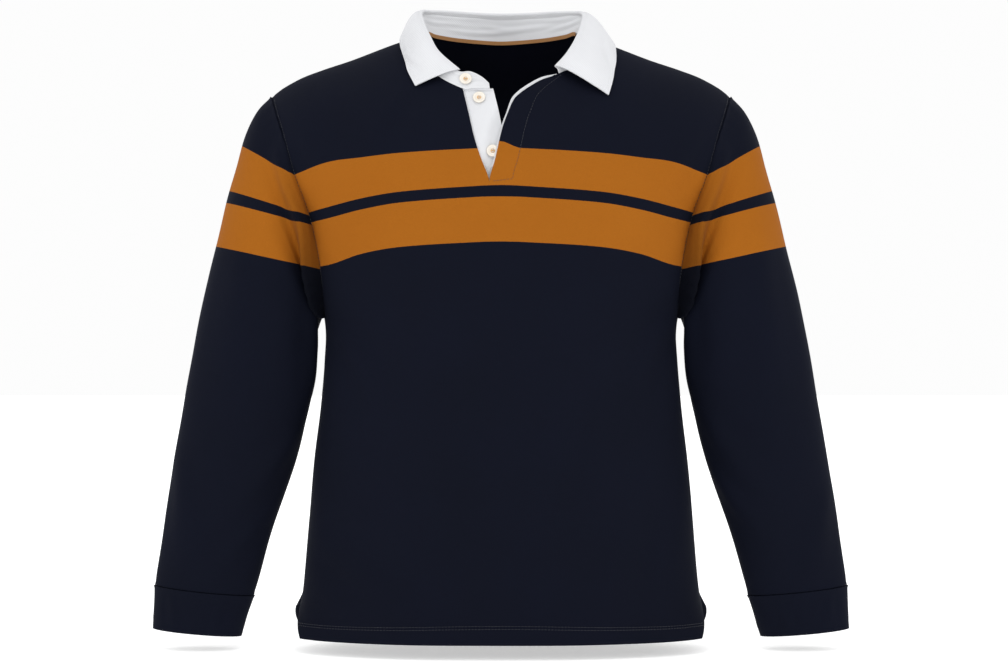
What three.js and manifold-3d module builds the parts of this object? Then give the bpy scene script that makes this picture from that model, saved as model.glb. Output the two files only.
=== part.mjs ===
// A man's long-sleeved rugby shirt, filled out as if worn, with nobody in it.
// Millimetres, +Z up, the front faces -Y. The origin is between the shoulders,
// at the height where the shoulder seams meet the collar.
import * as THREE from 'three';
import Module from 'manifold-3d';
import { mergeVertices } from 'three/addons/utils/BufferGeometryUtils.js';

// Driving sizes
const JERSEY = 1.6; // wall of the heavy cotton jersey
const TWILL = 1.4; // wall of the collar and placket twill
const SEAM_HALF = 0.2; // each piece stops this far short of a seam
const CLEAR = 0.4; // gap under anything that lies on a panel
const ROOM = 0.3; // clearance round a wall where a neighbour is trimmed to it
const HEM_Z = -720; // bottom of the front
const BACK_HEM_Z = -708; // bottom of the back
const VENT_Z = -666; // top of the two side vents
const ARMPIT_Z = -327;
const SLIT_Z = -176; // bottom of the front opening
const NECK_SIDE = { x: 94, z: 13 }; // where shoulder seam and collar meet
const SHOULDER_TIP = { x: 279.6, z: -64.7 }; // where shoulder seam and sleeve meet
const SIDE_POWER = 2.5; // fullness of a body section
const ROOF_POWER = 0.75; // how the panels close over the shoulder ridge
const STRIP_WIDTH = 36; // button strip that shows beside the left front
const STRIP_TUCK = 5; // button strip under the left front
const STRIP_END_Z = -188;
const STRIP_UNDER = 4.6; // how much further back the strip lies under the fly
const FACING_SHOWS = 2.2; // fly facing that shows past the fly's edge
const BUTTON_R = 7;

const LOWER_ROWS = 7; // panel rows from the hem to the armpit
const UPPER_ROWS = 11; // panel rows from the armpit to the shoulder
const SLIT_ROW = 6; // upper row where the opening starts
const HALF_COLUMNS = 9; // panel columns from the middle to the side
const NECK_COLUMNS = 4; // of them, those that end on the neckline

// Body sections by level: half width, and depth to the front and to the back.
const BODY = [
  { z: -720, half: 257, backHalf: 275, front: 98, back: 92 },
  { z: -690, half: 247, backHalf: 256, front: 99, back: 93 },
  { z: -666, half: 241.5, backHalf: 241.5, front: 100, back: 93 },
  { z: -581, half: 234, backHalf: 234, front: 103, back: 95 },
  { z: -507, half: 227.5, backHalf: 227.5, front: 106, back: 98 },
  { z: -434, half: 219, backHalf: 219, front: 110, back: 102 },
  { z: -361, half: 213.5, backHalf: 213.5, front: 116, back: 108 },
  { z: -327, half: 217, backHalf: 217, front: 119, back: 110 },
  { z: -276, half: 236, backHalf: 236, front: 123, back: 113 },
  { z: -212, half: 255, backHalf: 255, front: 127, back: 116 },
  { z: -165, half: 285, backHalf: 285, front: 128, back: 117 },
  { z: -117, half: 303, backHalf: 303, front: 128, back: 116 },
  { z: -65, half: 318, backHalf: 318, front: 128, back: 114 },
  { z: 46, half: 330, backHalf: 330, front: 128, back: 112 },
];

// Ridge of the shoulders by distance from the middle, and how far below the
// ridge the front and the back reach their full depth.
const RIDGE = [
  { x: 0, z: 46, frontDrop: 224, backDrop: 140, y: 8 },
  { x: 40, z: 36, frontDrop: 216, backDrop: 136, y: 8 },
  { x: 70, z: 25, frontDrop: 206, backDrop: 132, y: 7 },
  { x: 94, z: 13, frontDrop: 200, backDrop: 130, y: 6 },
  { x: 133, z: -0.5, frontDrop: 186, backDrop: 126, y: 4 },
  { x: 182, z: -19.5, frontDrop: 165, backDrop: 120, y: 2 },
  { x: 218, z: -31.7, frontDrop: 146, backDrop: 114, y: 1 },
  { x: 248, z: -43.9, frontDrop: 134, backDrop: 110, y: 0 },
  { x: 280, z: -65, frontDrop: 126, backDrop: 106, y: 0 },
  { x: 330, z: -120, frontDrop: 120, backDrop: 100, y: 0 },
];

// Armhole seam by level, distance from the middle on the front and the back.
const ARMHOLE = [
  { z: -327, front: 217, back: 217 },
  { z: -309, front: 214.8, back: 216 },
  { z: -276, front: 217, back: 219 },
  { z: -246, front: 222, back: 225 },
  { z: -212, front: 230, back: 234 },
  { z: -191, front: 237, back: 241 },
  { z: -165, front: 246.5, back: 250 },
  { z: -117, front: 260.7, back: 264 },
  { z: -90, front: 270.5, back: 272 },
  { z: -64.7, front: 279.6, back: 279.6 },
];

// The two edges of the front opening by level, at the wearer's right (the
// button side) and at the wearer's left (the fly).
const BUTTON_EDGE = [
  { z: -327, x: 0 },
  { z: -250, x: -6 },
  { z: -176, x: -13.3 },
  { z: -148, x: -23.4 },
  { z: -124, x: -31 },
  { z: -91.5, x: -38.5 },
  { z: -64.5, x: -45 },
];
const FLY_EDGE = [
  { z: -327, x: 0 },
  { z: -250, x: -6 },
  { z: -176, x: -13.3 },
  { z: -150.7, x: -6.8 },
  { z: -114.3, x: 1.4 },
  { z: -95, x: 8 },
  { z: -78, x: 15.4 },
  { z: -70, x: 23 },
  { z: -60.6, x: 36 },
  { z: -52.5, x: 50 },
  { z: -46, x: 70 },
];

// Neckline from the opening round to the shoulder seam, by share of its length.
const NECK_BUTTON_SIDE = [
  { at: 0, x: -45, z: -64.5 },
  { at: 0.25, x: -72, z: -50 },
  { at: 0.5, x: -88, z: -32 },
  { at: 0.75, x: -95, z: -10 },
  { at: 1, x: -94, z: 13 },
];
const NECK_FLY_SIDE = [
  { at: 0, x: 70, z: -46 },
  { at: 0.25, x: 84, z: -38 },
  { at: 0.5, x: 92.5, z: -24 },
  { at: 0.75, x: 96, z: -5 },
  { at: 1, x: 94, z: 13 },
];
const NECK_BACK = [
  { at: 0, x: 0, z: 10 },
  { at: 0.25, x: 31, z: 10.5 },
  { at: 0.5, x: 60, z: 11.5 },
  { at: 0.75, x: 82, z: 12.5 },
  { at: 1, x: 94, z: 13 },
];

// Sleeve sections from the armhole to the cuff: the outer and the inner point
// of each, its depth to the front and back, and the fold beside the armhole.
const SLEEVE = [
  { outX: 296, outZ: -84, inX: 218.5, inZ: -329.5, front: 64, back: 60, fold: 0.2 },
  { outX: 310, outZ: -113, inX: 219.5, inZ: -332, front: 66, back: 64, fold: 0.14 },
  { outX: 321, outZ: -152, inX: 221, inZ: -336, front: 68, back: 67, fold: 0.07 },
  { outX: 333.5, outZ: -196, inX: 223, inZ: -343, front: 68, back: 68, fold: 0.03 },
  { outX: 347, outZ: -252, inX: 225, inZ: -354, front: 66, back: 66, fold: 0 },
  { outX: 361.5, outZ: -313, inX: 226.5, inZ: -374, front: 60, back: 61, fold: 0 },
  { outX: 376, outZ: -386, inX: 230.5, inZ: -418, front: 53, back: 55, fold: 0 },
  { outX: 392, outZ: -478, inX: 251, inZ: -506, front: 46, back: 48, fold: 0 },
  { outX: 407, outZ: -567, inX: 279, inZ: -587, front: 38, back: 40, fold: 0 },
  { outX: 420, outZ: -659, inX: 303, inZ: -671, front: 29, back: 31, fold: 0 },
];
const CUFF = [
  { outX: 420, outZ: -659, inX: 303, inZ: -671, front: 29, back: 31, fold: 0 },
  { outX: 421, outZ: -684, inX: 311.5, inZ: -696, front: 27, back: 29, fold: 0 },
  { outX: 422.5, outZ: -712, inX: 318.5, inZ: -721, front: 26, back: 28, fold: 0 },
];

// Collar stand from its button-side end round the back to its fly-side end.
// A row starts on a column of a panel's neckline, or at a point in front of
// the button strip, and rises to its top edge.
const STAND = [
  { on: 'strip', x: -13, z: -64, topX: -14, topY: -83, topZ: -57 },
  { on: 'strip', x: -23, z: -64.5, topX: -23, topY: -80, topZ: -49 },
  { on: 'strip', x: -34, z: -64.5, topX: -36, topY: -80, topZ: -43 },
  { on: 'button side', c: 0, topX: -52, topY: -83, topZ: -42 },
  { on: 'button side', c: 1, topX: -76, topY: -77, topZ: -21 },
  { on: 'button side', c: 2, topX: -87, topY: -63, topZ: -1 },
  { on: 'button side', c: 3, topX: -95, topY: -37, topZ: 19 },
  { on: 'back right', c: 4, topX: -99, topY: 2, topZ: 38 },
  { on: 'back right', c: 3, topX: -88, topY: 30, topZ: 43 },
  { on: 'back right', c: 2, topX: -65, topY: 50, topZ: 45 },
  { on: 'back right', c: 1, topX: -34, topY: 62, topZ: 44.5 },
  { on: 'back right', c: 0, topX: 0, topY: 67, topZ: 44 },
  { on: 'back left', c: 1, topX: 34, topY: 62, topZ: 44 },
  { on: 'back left', c: 2, topX: 65, topY: 50, topZ: 44 },
  { on: 'back left', c: 3, topX: 89, topY: 30, topZ: 42 },
  { on: 'back left', c: 4, topX: 102, topY: 2, topZ: 36 },
  { on: 'fly side', c: 3, topX: 99, topY: -30, topZ: 17 },
  { on: 'fly side', c: 2, topX: 91, topY: -54, topZ: -4 },
  { on: 'fly side', c: 1, topX: 80, topY: -72, topZ: -23 },
  { on: 'fly side', c: 0, topX: 67, topY: -80, topZ: -38 },
];
// Outer edge of the collar leaf for the stand's rows from LEAF_START on. face
// says where it lies: over the front (-1), the back (1) or the shoulder ridge
// (0). lift is its height off the cloth under it.
const LEAF_START = 3;
const LEAF_EDGE = [
  { x: -101, z: -62, face: -1, lift: 4 },
  { x: -110, z: -44, face: -1, lift: 4 },
  { x: -116, z: -27, face: -1, lift: 4 },
  { x: -121, z: -9, face: -1, lift: 4.5 },
  { x: -123, z: 0, face: 0, lift: 5 },
  { x: -110, z: -1, face: 1, lift: 6 },
  { x: -84, z: -3, face: 1, lift: 8 },
  { x: -44, z: -4, face: 1, lift: 9 },
  { x: 0, z: -4, face: 1, lift: 9 },
  { x: 44, z: -4, face: 1, lift: 9 },
  { x: 86, z: -4, face: 1, lift: 8 },
  { x: 118, z: -2, face: 1, lift: 6 },
  { x: 137, z: -4, face: 0, lift: 5 },
  { x: 138, z: -18, face: -1, lift: 4.5 },
  { x: 136, z: -37, face: -1, lift: 4 },
  { x: 132, z: -56, face: -1, lift: 4 },
  { x: 127, z: -73, face: -1, lift: 4 },
];
const TAPE_ROWS = [7, 16]; // stand rows that the neck tape runs along

const BUTTONS = [
  { name: 'button_1', x: -46, z: -53 },
  { name: 'button_2', x: -25.5, z: -75.5 },
  { name: 'button_3', x: -9.7, z: -139 },
];

const NAVY = '#171926';
const CREAM = '#eceef0';
const TAN = '#a8723c';
const SHELL = '#e6dccb';

// ---- Small helpers ---------------------------------------------------------

// Reads one column of a table as a smooth function of another column.
function column(rows, key, name) {
  const at = rows.map((row) => row[key]);
  const value = rows.map((row) => row[name]);
  const last = at.length - 1;
  const slope = value.map((v, i) => {
    const a = Math.max(0, i - 1);
    const b = Math.min(last, i + 1);
    return (value[b] - value[a]) / (at[b] - at[a]);
  });
  return (x) => {
    if (x <= at[0]) return value[0];
    if (x >= at[last]) return value[last];
    let i = 0;
    while (x > at[i + 1]) i += 1;
    const h = at[i + 1] - at[i];
    const t = (x - at[i]) / h;
    const a = value[i] * (1 + 2 * t) * (1 - t) ** 2 + slope[i] * h * t * (1 - t) ** 2;
    const b = value[i + 1] * t * t * (3 - 2 * t) - slope[i + 1] * h * t * t * (1 - t);
    return a + b;
  };
}

function columns(rows, key, ...names) {
  return Object.fromEntries(names.map((name) => [name, column(rows, key, name)]));
}

const mix = (a, b, t) => a + (b - a) * t;
const clamp01 = (t) => Math.min(1, Math.max(0, t));
const smooth = (t) => clamp01(t) ** 2 * (3 - 2 * clamp01(t));
const vec = (x, y, z) => new THREE.Vector3(x, y, z);

// ---- The body's surface ----------------------------------------------------

const body = columns(BODY, 'z', 'half', 'backHalf', 'front', 'back');
const ridge = columns(RIDGE, 'x', 'z', 'frontDrop', 'backDrop', 'y');
const armhole = columns(ARMHOLE, 'z', 'front', 'back');
const buttonEdge = column(BUTTON_EDGE, 'z', 'x');
const flyEdge = column(FLY_EDGE, 'z', 'x');

// Half width of the body. Below the vents the back is cut wider.
function halfWidth(face, z) {
  return (face > 0 && z < VENT_Z ? body.backHalf : body.half)(z);
}

// Where the cloth's outside lies at (x, z), on the front (-1) or the back (1).
function bodyY(face, x, z) {
  const far = Math.abs(x);
  const half = halfWidth(face, z);
  const deep = (face < 0 ? body.front : body.back)(z);
  const drop = (face < 0 ? ridge.frontDrop : ridge.backDrop)(far);
  const share = clamp01((ridge.z(far) - z) / drop);
  const roof = (1 - (1 - share) ** 2) ** ROOF_POWER;
  const side = Math.sqrt(Math.max(0, 1 - (far / half) ** SIDE_POWER));
  const middle = ridge.y(far) * smooth((z - ARMPIT_Z) / 177);
  return middle + face * deep * side * roof;
}

function bodyPoint(face, x, z, lift = 0) {
  if (face === 0) return vec(x, ridge.y(Math.abs(x)), ridge.z(Math.abs(x)) + lift);
  const p = vec(x, bodyY(face, x, z), z);
  if (lift === 0) return p;
  return p.addScaledVector(bodyNormal(face, x, z), lift);
}

function bodyNormal(face, x, z) {
  const e = 1.5;
  const dx = bodyPoint(face, x + e, z).sub(bodyPoint(face, x - e, z));
  const dz = bodyPoint(face, x, z + e).sub(bodyPoint(face, x, z - e));
  return dx.cross(dz).multiplyScalar(-face).normalize();
}

// ---- Surfaces and walls ----------------------------------------------------

// A surface is a list of points and of four-sided faces that look outwards.
function surface() {
  return { points: [], faces: [], pulls: new Map() };
}

// Gives a surface its faces from a grid of point numbers. flip turns them over.
function faceGrid(s, grid, flip) {
  for (let r = 0; r + 1 < grid.length; r += 1) {
    for (let c = 0; c + 1 < grid[r].length; c += 1) {
      const quad = [grid[r][c], grid[r][c + 1], grid[r + 1][c + 1], grid[r + 1][c]];
      s.faces.push(flip ? quad.reverse() : quad);
    }
  }
}

function gridSurface(rows, flip, closed = false) {
  const s = surface();
  const grid = rows.map((row) => row.map((p) => s.points.push(p) - 1));
  if (closed) grid.forEach((row) => row.push(row[0]));
  faceGrid(s, grid, flip);
  s.grid = grid;
  return s;
}

const keyOf = (p) => p.toArray().map((v) => Math.round(v * 100)).join(' ');

// Normals at the points. Where surfaces meet at a seam without a hollow between
// them, they share its normals, so that their walls end in one plane.
function shareNormals(surfaces) {
  const met = new Map();
  for (const s of surfaces) {
    const p = s.points;
    s.normals = p.map(() => vec(0, 0, 0));
    s.inward = p.map(() => vec(0, 0, 0));
    for (const quad of s.faces) {
      const [a, b, c, d] = quad;
      const n = p[c].clone().sub(p[a]).cross(p[d].clone().sub(p[b]));
      const middle = vec(0, 0, 0);
      quad.forEach((i) => middle.addScaledVector(p[i], 0.25));
      for (const i of quad) {
        s.normals[i].add(n);
        s.inward[i].add(middle.clone().sub(p[i]).normalize());
      }
    }
    p.forEach((point, i) => {
      s.normals[i].normalize();
      s.inward[i].normalize();
      const key = keyOf(point);
      if (!met.has(key)) met.set(key, []);
      met.get(key).push({ s, normal: s.normals[i].clone(), inward: s.inward[i] });
    });
  }
  for (const s of surfaces) {
    s.points.forEach((point, i) => {
      const own = s.normals[i].clone();
      const total = own.clone();
      for (const other of met.get(keyOf(point))) {
        const hollow = own.dot(other.inward) + other.normal.dot(s.inward[i]) > 0.1;
        if (other.s !== s && !hollow) total.add(other.normal);
      }
      s.normals[i] = total.normalize();
    });
  }
}

// Stops a surface short of a seam: each listed point moves towards the one
// beside it, square to the seam.
function pullBack(s, edge, beside, round = false) {
  const last = edge.length - 1;
  edge.forEach((i, k) => {
    const before = edge[round ? (k + last) % (last + 1) : Math.max(0, k - 1)];
    const after = edge[round ? (k + 1) % (last + 1) : Math.min(last, k + 1)];
    const along = s.points[after].clone().sub(s.points[before]).normalize();
    const step = s.points[beside[k]].clone().sub(s.points[i]);
    step.addScaledVector(along, -step.dot(along)).normalize();
    s.pulls.set(i, [...(s.pulls.get(i) ?? []), step.multiplyScalar(SEAM_HALF)]);
  });
}

function settle(s) {
  s.whole = s.points.map((p) => p.clone());
  for (const [i, steps] of s.pulls) steps.forEach((step) => s.points[i].add(step));
}

// A closed wall: the surface outside, the same moved in by its thickness
// inside, and a strip along every open edge.
function wall(s, thick) {
  const n = s.points.length;
  const inner = s.points.map((p, i) => p.clone().addScaledVector(s.normals[i], -thick));
  const positions = [...s.points, ...inner].flatMap((p) => p.toArray());
  const index = [];
  const edges = new Map();
  for (const quad of s.faces) {
    const [a, b, c, d] = quad;
    const short = s.points[a].distanceTo(s.points[c]) < s.points[b].distanceTo(s.points[d]);
    const two = short ? [[a, b, c], [a, c, d]] : [[a, b, d], [b, c, d]];
    for (const [i, j, k] of two) {
      index.push(i, j, k, n + k, n + j, n + i);
    }
    quad.forEach((from, k) => edges.set(`${from} ${quad[(k + 1) % 4]}`, true));
  }
  for (const key of edges.keys()) {
    const [a, b] = key.split(' ').map(Number);
    if (!edges.has(`${b} ${a}`)) index.push(b, a, n + a, b, n + a, n + b);
  }
  const geometry = new THREE.BufferGeometry();
  geometry.setAttribute('position', new THREE.Float32BufferAttribute(positions, 3));
  geometry.setIndex(index);
  geometry.computeVertexNormals();
  return geometry;
}

const manifold = await Module();
manifold.setup();

function solidOf(geometry) {
  const plain = new THREE.BufferGeometry();
  plain.setAttribute('position', geometry.getAttribute('position'));
  plain.setIndex(geometry.index);
  const merged = mergeVertices(plain, 1e-4);
  const mesh = new manifold.Mesh({
    numProp: 3,
    vertProperties: merged.attributes.position.array,
    triVerts: new Uint32Array(merged.index.array),
  });
  return new manifold.Manifold(mesh);
}

// The room a wall takes with a clearance round it.
function room(s, thick) {
  const from = s.whole ?? s.points;
  const points = from.map((p, i) => p.clone().addScaledVector(s.normals[i], ROOM));
  return solidOf(wall({ points, normals: s.normals, faces: s.faces }, thick + 2 * ROOM));
}

// A wall without the room its neighbours take.
function trimmed(geometry, rooms) {
  let solid = solidOf(geometry);
  for (const cutter of rooms) solid = solid.subtract(cutter);
  const pieces = solid.decompose().sort((a, b) => b.volume() - a.volume());
  const mesh = pieces[0].simplify(0.3).getMesh();
  const cut = new THREE.BufferGeometry();
  const positions = new Float32Array(mesh.vertProperties);
  cut.setAttribute('position', new THREE.BufferAttribute(positions, 3));
  cut.setIndex([...mesh.triVerts]);
  cut.computeVertexNormals();
  return cut;
}

function mirrored(s) {
  return {
    points: s.points.map((p) => vec(-p.x, p.y, p.z)),
    faces: s.faces.map((quad) => [...quad].reverse()),
    pulls: new Map([...s.pulls].map(([i, steps]) => {
      return [i, steps.map((step) => vec(-step.x, step.y, step.z))];
    })),
    grid: s.grid,
  };
}

// ---- Front and back panels -------------------------------------------------

const rowShare = (k) => (1 - Math.cos((Math.PI * k) / UPPER_ROWS)) / 2;
const sideLevel = (k) => mix(ARMPIT_Z, SHOULDER_TIP.z, rowShare(k));

function neckPoint(neck, at) {
  return { x: column(neck, 'at', 'x')(at), z: column(neck, 'at', 'z')(at) };
}

// Top end of a panel's column: on the neckline, or on the shoulder seam.
function columnTop(neck, sign, c) {
  if (c <= NECK_COLUMNS) return neckPoint(neck, c / NECK_COLUMNS);
  const t = (c - NECK_COLUMNS) / (HALF_COLUMNS - NECK_COLUMNS);
  const x = mix(NECK_SIDE.x, SHOULDER_TIP.x, t);
  return { x: sign * x, z: c === HALF_COLUMNS ? SHOULDER_TIP.z : ridge.z(x) };
}

// Half of a panel, from its middle column to its side, as rows of points from
// the hem up. middleX gives the middle column's place by level.
function halfPanel(face, sign, neck, middleX, slit) {
  const hem = face < 0 ? HEM_Z : BACK_HEM_Z;
  const armX = face < 0 ? armhole.front : armhole.back;
  const rows = [];
  const levels = [hem, -692, VENT_Z, -600, -530, -462, -394];
  for (const z of levels) {
    const open = clamp01((VENT_Z - z) / (VENT_Z - hem));
    const widest = (90 - 20 * open ** 1.3) * (Math.PI / 180);
    const row = [];
    for (let c = 0; c <= HALF_COLUMNS; c += 1) {
      const x = sign * halfWidth(face, z) * Math.sin((widest * c) / HALF_COLUMNS);
      const side = c === HALF_COLUMNS && open === 0;
      row.push(side ? vec(x, 0, z) : bodyPoint(face, x, z));
    }
    rows.push(row);
  }
  for (let r = 0; r <= UPPER_ROWS; r += 1) {
    const share = rowShare(r);
    const sideX = armX(sideLevel(r));
    const middleTop = columnTop(neck, sign, 0).z;
    const plainMiddle = mix(ARMPIT_Z, middleTop, share);
    const slitShare = rowShare(SLIT_ROW);
    let middleZ = plainMiddle;
    if (slit) {
      middleZ = r <= SLIT_ROW
        ? mix(ARMPIT_Z, SLIT_Z, share / slitShare)
        : mix(SLIT_Z, middleTop, (share - slitShare) / (1 - slitShare));
    }
    const row = [];
    for (let c = 0; c <= HALF_COLUMNS; c += 1) {
      const top = columnTop(neck, sign, c);
      const low = Math.sin((Math.PI / 2) * (c / HALF_COLUMNS));
      const blend = smooth(r / UPPER_ROWS);
      const across = mix(low, Math.abs(top.x) / SHOULDER_TIP.x, blend);
      const start = mix(0, Math.abs(columnTop(neck, sign, 0).x) / SHOULDER_TIP.x, blend);
      const near = (1 - c / HALF_COLUMNS) ** 2;
      const z = mix(ARMPIT_Z, top.z, share) + (middleZ - plainMiddle) * near;
      const shift = (middleX(middleZ) - sign * sideX * start) * (1 - c / HALF_COLUMNS) ** 6;
      const x = sign * sideX * across + shift;
      const onRidge = r === UPPER_ROWS && c >= NECK_COLUMNS;
      const onArmpit = r === 0 && c === HALF_COLUMNS;
      if (onRidge) row.push(vec(top.x, ridge.y(Math.abs(top.x)), top.z));
      else if (onArmpit) row.push(vec(sign * sideX, 0, ARMPIT_Z));
      else if (r === UPPER_ROWS) row.push(bodyPoint(face, top.x, top.z));
      else row.push(bodyPoint(face, x, z));
    }
    rows.push(row);
  }
  return rows;
}

// Puts two half panels together. They share their middle column up to the
// opening's lower end.
function panel(leftRows, rightRows, slitFrom, face) {
  const s = surface();
  const grids = [[], []];
  leftRows.forEach((row, r) => {
    const left = row.map((p) => s.points.push(p) - 1);
    const right = rightRows[r].map((p, c) => {
      const shared = c === 0 && r <= slitFrom;
      return shared ? left[0] : s.points.push(p) - 1;
    });
    grids[0].push(left);
    grids[1].push(right);
  });
  faceGrid(s, grids[0], face < 0);
  faceGrid(s, grids[1], face > 0);
  s.halves = grids;
  for (const grid of grids) {
    const top = grid.length - 1;
    const side = grid.map((row) => row[HALF_COLUMNS]);
    const beside = grid.map((row) => row[HALF_COLUMNS - 1]);
    pullBack(s, side, beside);
    pullBack(s, grid[top].slice(NECK_COLUMNS), grid[top - 1].slice(NECK_COLUMNS));
  }
  return s;
}

const front = panel(
  halfPanel(-1, -1, NECK_BUTTON_SIDE, buttonEdge, true),
  halfPanel(-1, 1, NECK_FLY_SIDE, flyEdge, true),
  LOWER_ROWS + SLIT_ROW,
  -1,
);
const backNeckLeft = NECK_BACK.map((row) => ({ ...row, x: -row.x }));
const back = panel(
  halfPanel(1, -1, backNeckLeft, () => 0, false),
  halfPanel(1, 1, NECK_BACK, () => 0, false),
  LOWER_ROWS + UPPER_ROWS,
  1,
);

// ---- Sleeves and cuffs -----------------------------------------------------

// One ring of a sleeve on the wearer's left, from the armpit up the front to
// the shoulder and down the back.
function sleeveRing(row) {
  const ring = [];
  for (let k = 0; k < 2 * UPPER_ROWS; k += 1) {
    const turn = Math.PI * (1 - k / UPPER_ROWS);
    const share = (1 + Math.cos(turn)) / 2;
    const bulge = Math.sin(turn);
    const below = clamp01(-Math.cos(turn) + 0.35);
    const dent = bulge > 0 ? 1 - row.fold * smooth(below / 0.9) : 1;
    const deep = bulge > 0 ? row.front : row.back;
    const x = mix(row.inX, row.outX, share);
    ring.push(vec(x, -deep * bulge * dent, mix(row.inZ, row.outZ, share)));
  }
  return ring;
}

function armholeRing() {
  const ring = [];
  for (let k = 0; k <= UPPER_ROWS; k += 1) {
    ring.push(front.points[front.halves[1][LOWER_ROWS + k][HALF_COLUMNS]].clone());
  }
  for (let k = UPPER_ROWS - 1; k > 0; k -= 1) {
    ring.push(back.points[back.halves[1][LOWER_ROWS + k][HALF_COLUMNS]].clone());
  }
  return ring;
}

function sleeveSurface(rings, ends) {
  const s = gridSurface(rings, false, true);
  const last = rings.length - 1;
  if (ends.top) pullBack(s, s.grid[0].slice(0, -1), s.grid[1].slice(0, -1), true);
  if (ends.bottom) {
    pullBack(s, s.grid[last].slice(0, -1), s.grid[last - 1].slice(0, -1), true);
  }
  return s;
}

const sleeveRings = [armholeRing(), ...SLEEVE.map(sleeveRing)];
const cuffRings = CUFF.map(sleeveRing);
const sleeveLeft = sleeveSurface(sleeveRings, { top: true, bottom: true });
const cuffLeft = sleeveSurface(cuffRings, { top: true, bottom: false });
const sleeveRight = mirrored(sleeveLeft);
const cuffRight = mirrored(cuffLeft);

// A sleeve's first ring ends square to the panel beside it. In the hollow under
// the arm it ends square to the sleeve.
function joinArmhole(sleeve, half) {
  const first = sleeve.grid[0];
  for (let k = 0; k < 2 * UPPER_ROWS; k += 1) {
    const level = k <= UPPER_ROWS ? k : 2 * UPPER_ROWS - k;
    const panelOf = k <= UPPER_ROWS ? front : back;
    const at = panelOf.halves[half][LOWER_ROWS + level][HALF_COLUMNS];
    const next = sleeve.points[sleeve.grid[1][k]].clone().sub(sleeve.points[first[k]]).normalize();
    const normal = panelOf.normals[at];
    const hollow = normal.dot(next) > 0.1;
    if (hollow) {
      sleeve.normals[first[k]].copy(sleeve.normals[sleeve.grid[1][k]]);
    } else {
      const apart = vec(0, 0, 0);
      panelOf.pulls.get(at).forEach((step) => apart.sub(step));
      sleeve.normals[first[k]].copy(normal);
      sleeve.pulls.set(first[k], [apart.setLength(SEAM_HALF)]);
    }
  }
}

shareNormals([front, back]);
shareNormals([sleeveLeft, cuffLeft]);
shareNormals([sleeveRight, cuffRight]);
joinArmhole(sleeveLeft, 1);
joinArmhole(sleeveRight, 0);
[front, back, sleeveLeft, cuffLeft, sleeveRight, cuffRight].forEach(settle);

// ---- Collar ----------------------------------------------------------------

const NECKLINES = {
  'button side': [front, 0],
  'fly side': [front, 1],
  'back right': [back, 0],
  'back left': [back, 1],
};

function standBase(row) {
  if (row.on === 'strip') return bodyPoint(-1, row.x, row.z, CLEAR);
  const [panelOf, half] = NECKLINES[row.on];
  const i = panelOf.halves[half][LOWER_ROWS + UPPER_ROWS][row.c];
  return panelOf.points[i].clone().addScaledVector(panelOf.normals[i], CLEAR);
}
const standTop = (row) => vec(row.topX, row.topY, row.topZ);

// The stand's outside, with its wall towards the neck.
const standRows = [0, 0.33, 0.67, 1].map((t) => STAND.map((row) => {
  const low = standBase(row);
  return low.lerp(standTop(row), t);
}));
const stand = gridSurface(standRows, true);
shareNormals([stand]);

// Edge of the leaf, held off the cloth or off the shoulder ridge below it.
function leafEdge(row) {
  const z = Math.min(row.z, ridge.z(Math.abs(row.x)) - 0.5);
  return bodyPoint(row.face, row.x, z, row.lift);
}

// Moves a point of the leaf out until it clears the body by the leaf's wall.
function clearBody(p) {
  const low = ridge.z(Math.abs(p.x));
  if (p.z > low - 1) return;
  const face = p.y < ridge.y(Math.abs(p.x)) ? -1 : 1;
  const normal = bodyNormal(face, p.x, p.z);
  const gap = (p.y - bodyY(face, p.x, p.z)) * face * Math.abs(normal.y);
  const least = TWILL + 2;
  if (gap < least) p.addScaledVector(normal, least - gap);
}

// The leaf rolls over the stand's top and falls to its edge.
const LEAF_SHARES = [0, 0.06, 0.2, 0.42, 0.7, 1];
function leafColumn(k) {
  const top = standTop(STAND[LEAF_START + k]);
  const edge = leafEdge(LEAF_EDGE[k]);
  const before = standTop(STAND[LEAF_START + Math.max(0, k - 1)]);
  const after = standTop(STAND[LEAF_START + Math.min(LEAF_EDGE.length - 1, k + 1)]);
  const along = after.sub(before).normalize();
  const down = edge.clone().sub(top);
  const out = down.clone().cross(along).normalize().multiplyScalar(-1);
  const lift = TWILL + CLEAR + 0.3;
  return LEAF_SHARES.map((t) => {
    const p = top.clone().addScaledVector(down, t);
    const bulge = lift * (1 - t) + 5 * Math.sin(Math.PI * t ** 0.6);
    p.addScaledVector(out, bulge);
    if (t === 0) p.addScaledVector(down.clone().normalize(), -1.2);
    if (t > 0.3) clearBody(p);
    return p;
  });
}
const leafColumns = LEAF_EDGE.map((row, k) => leafColumn(k));
const leafRows = LEAF_SHARES.map((t, r) => leafColumns.map((points) => points[r]));
const leaf = gridSurface(leafRows, false);
shareNormals([leaf]);

// ---- Button strip, fly facing and neck tape --------------------------------

// How far the strip lies behind the body's outside: close behind the button
// side, and further back under the fly, its facing and a button.
function stripBack(x, z) {
  const under = smooth((x - flyEdge(z) + 20) / 14);
  return JERSEY + CLEAR + under * STRIP_UNDER;
}
const stripPoint = (x, z) => bodyPoint(-1, x, z, -stripBack(x, z));

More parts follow.
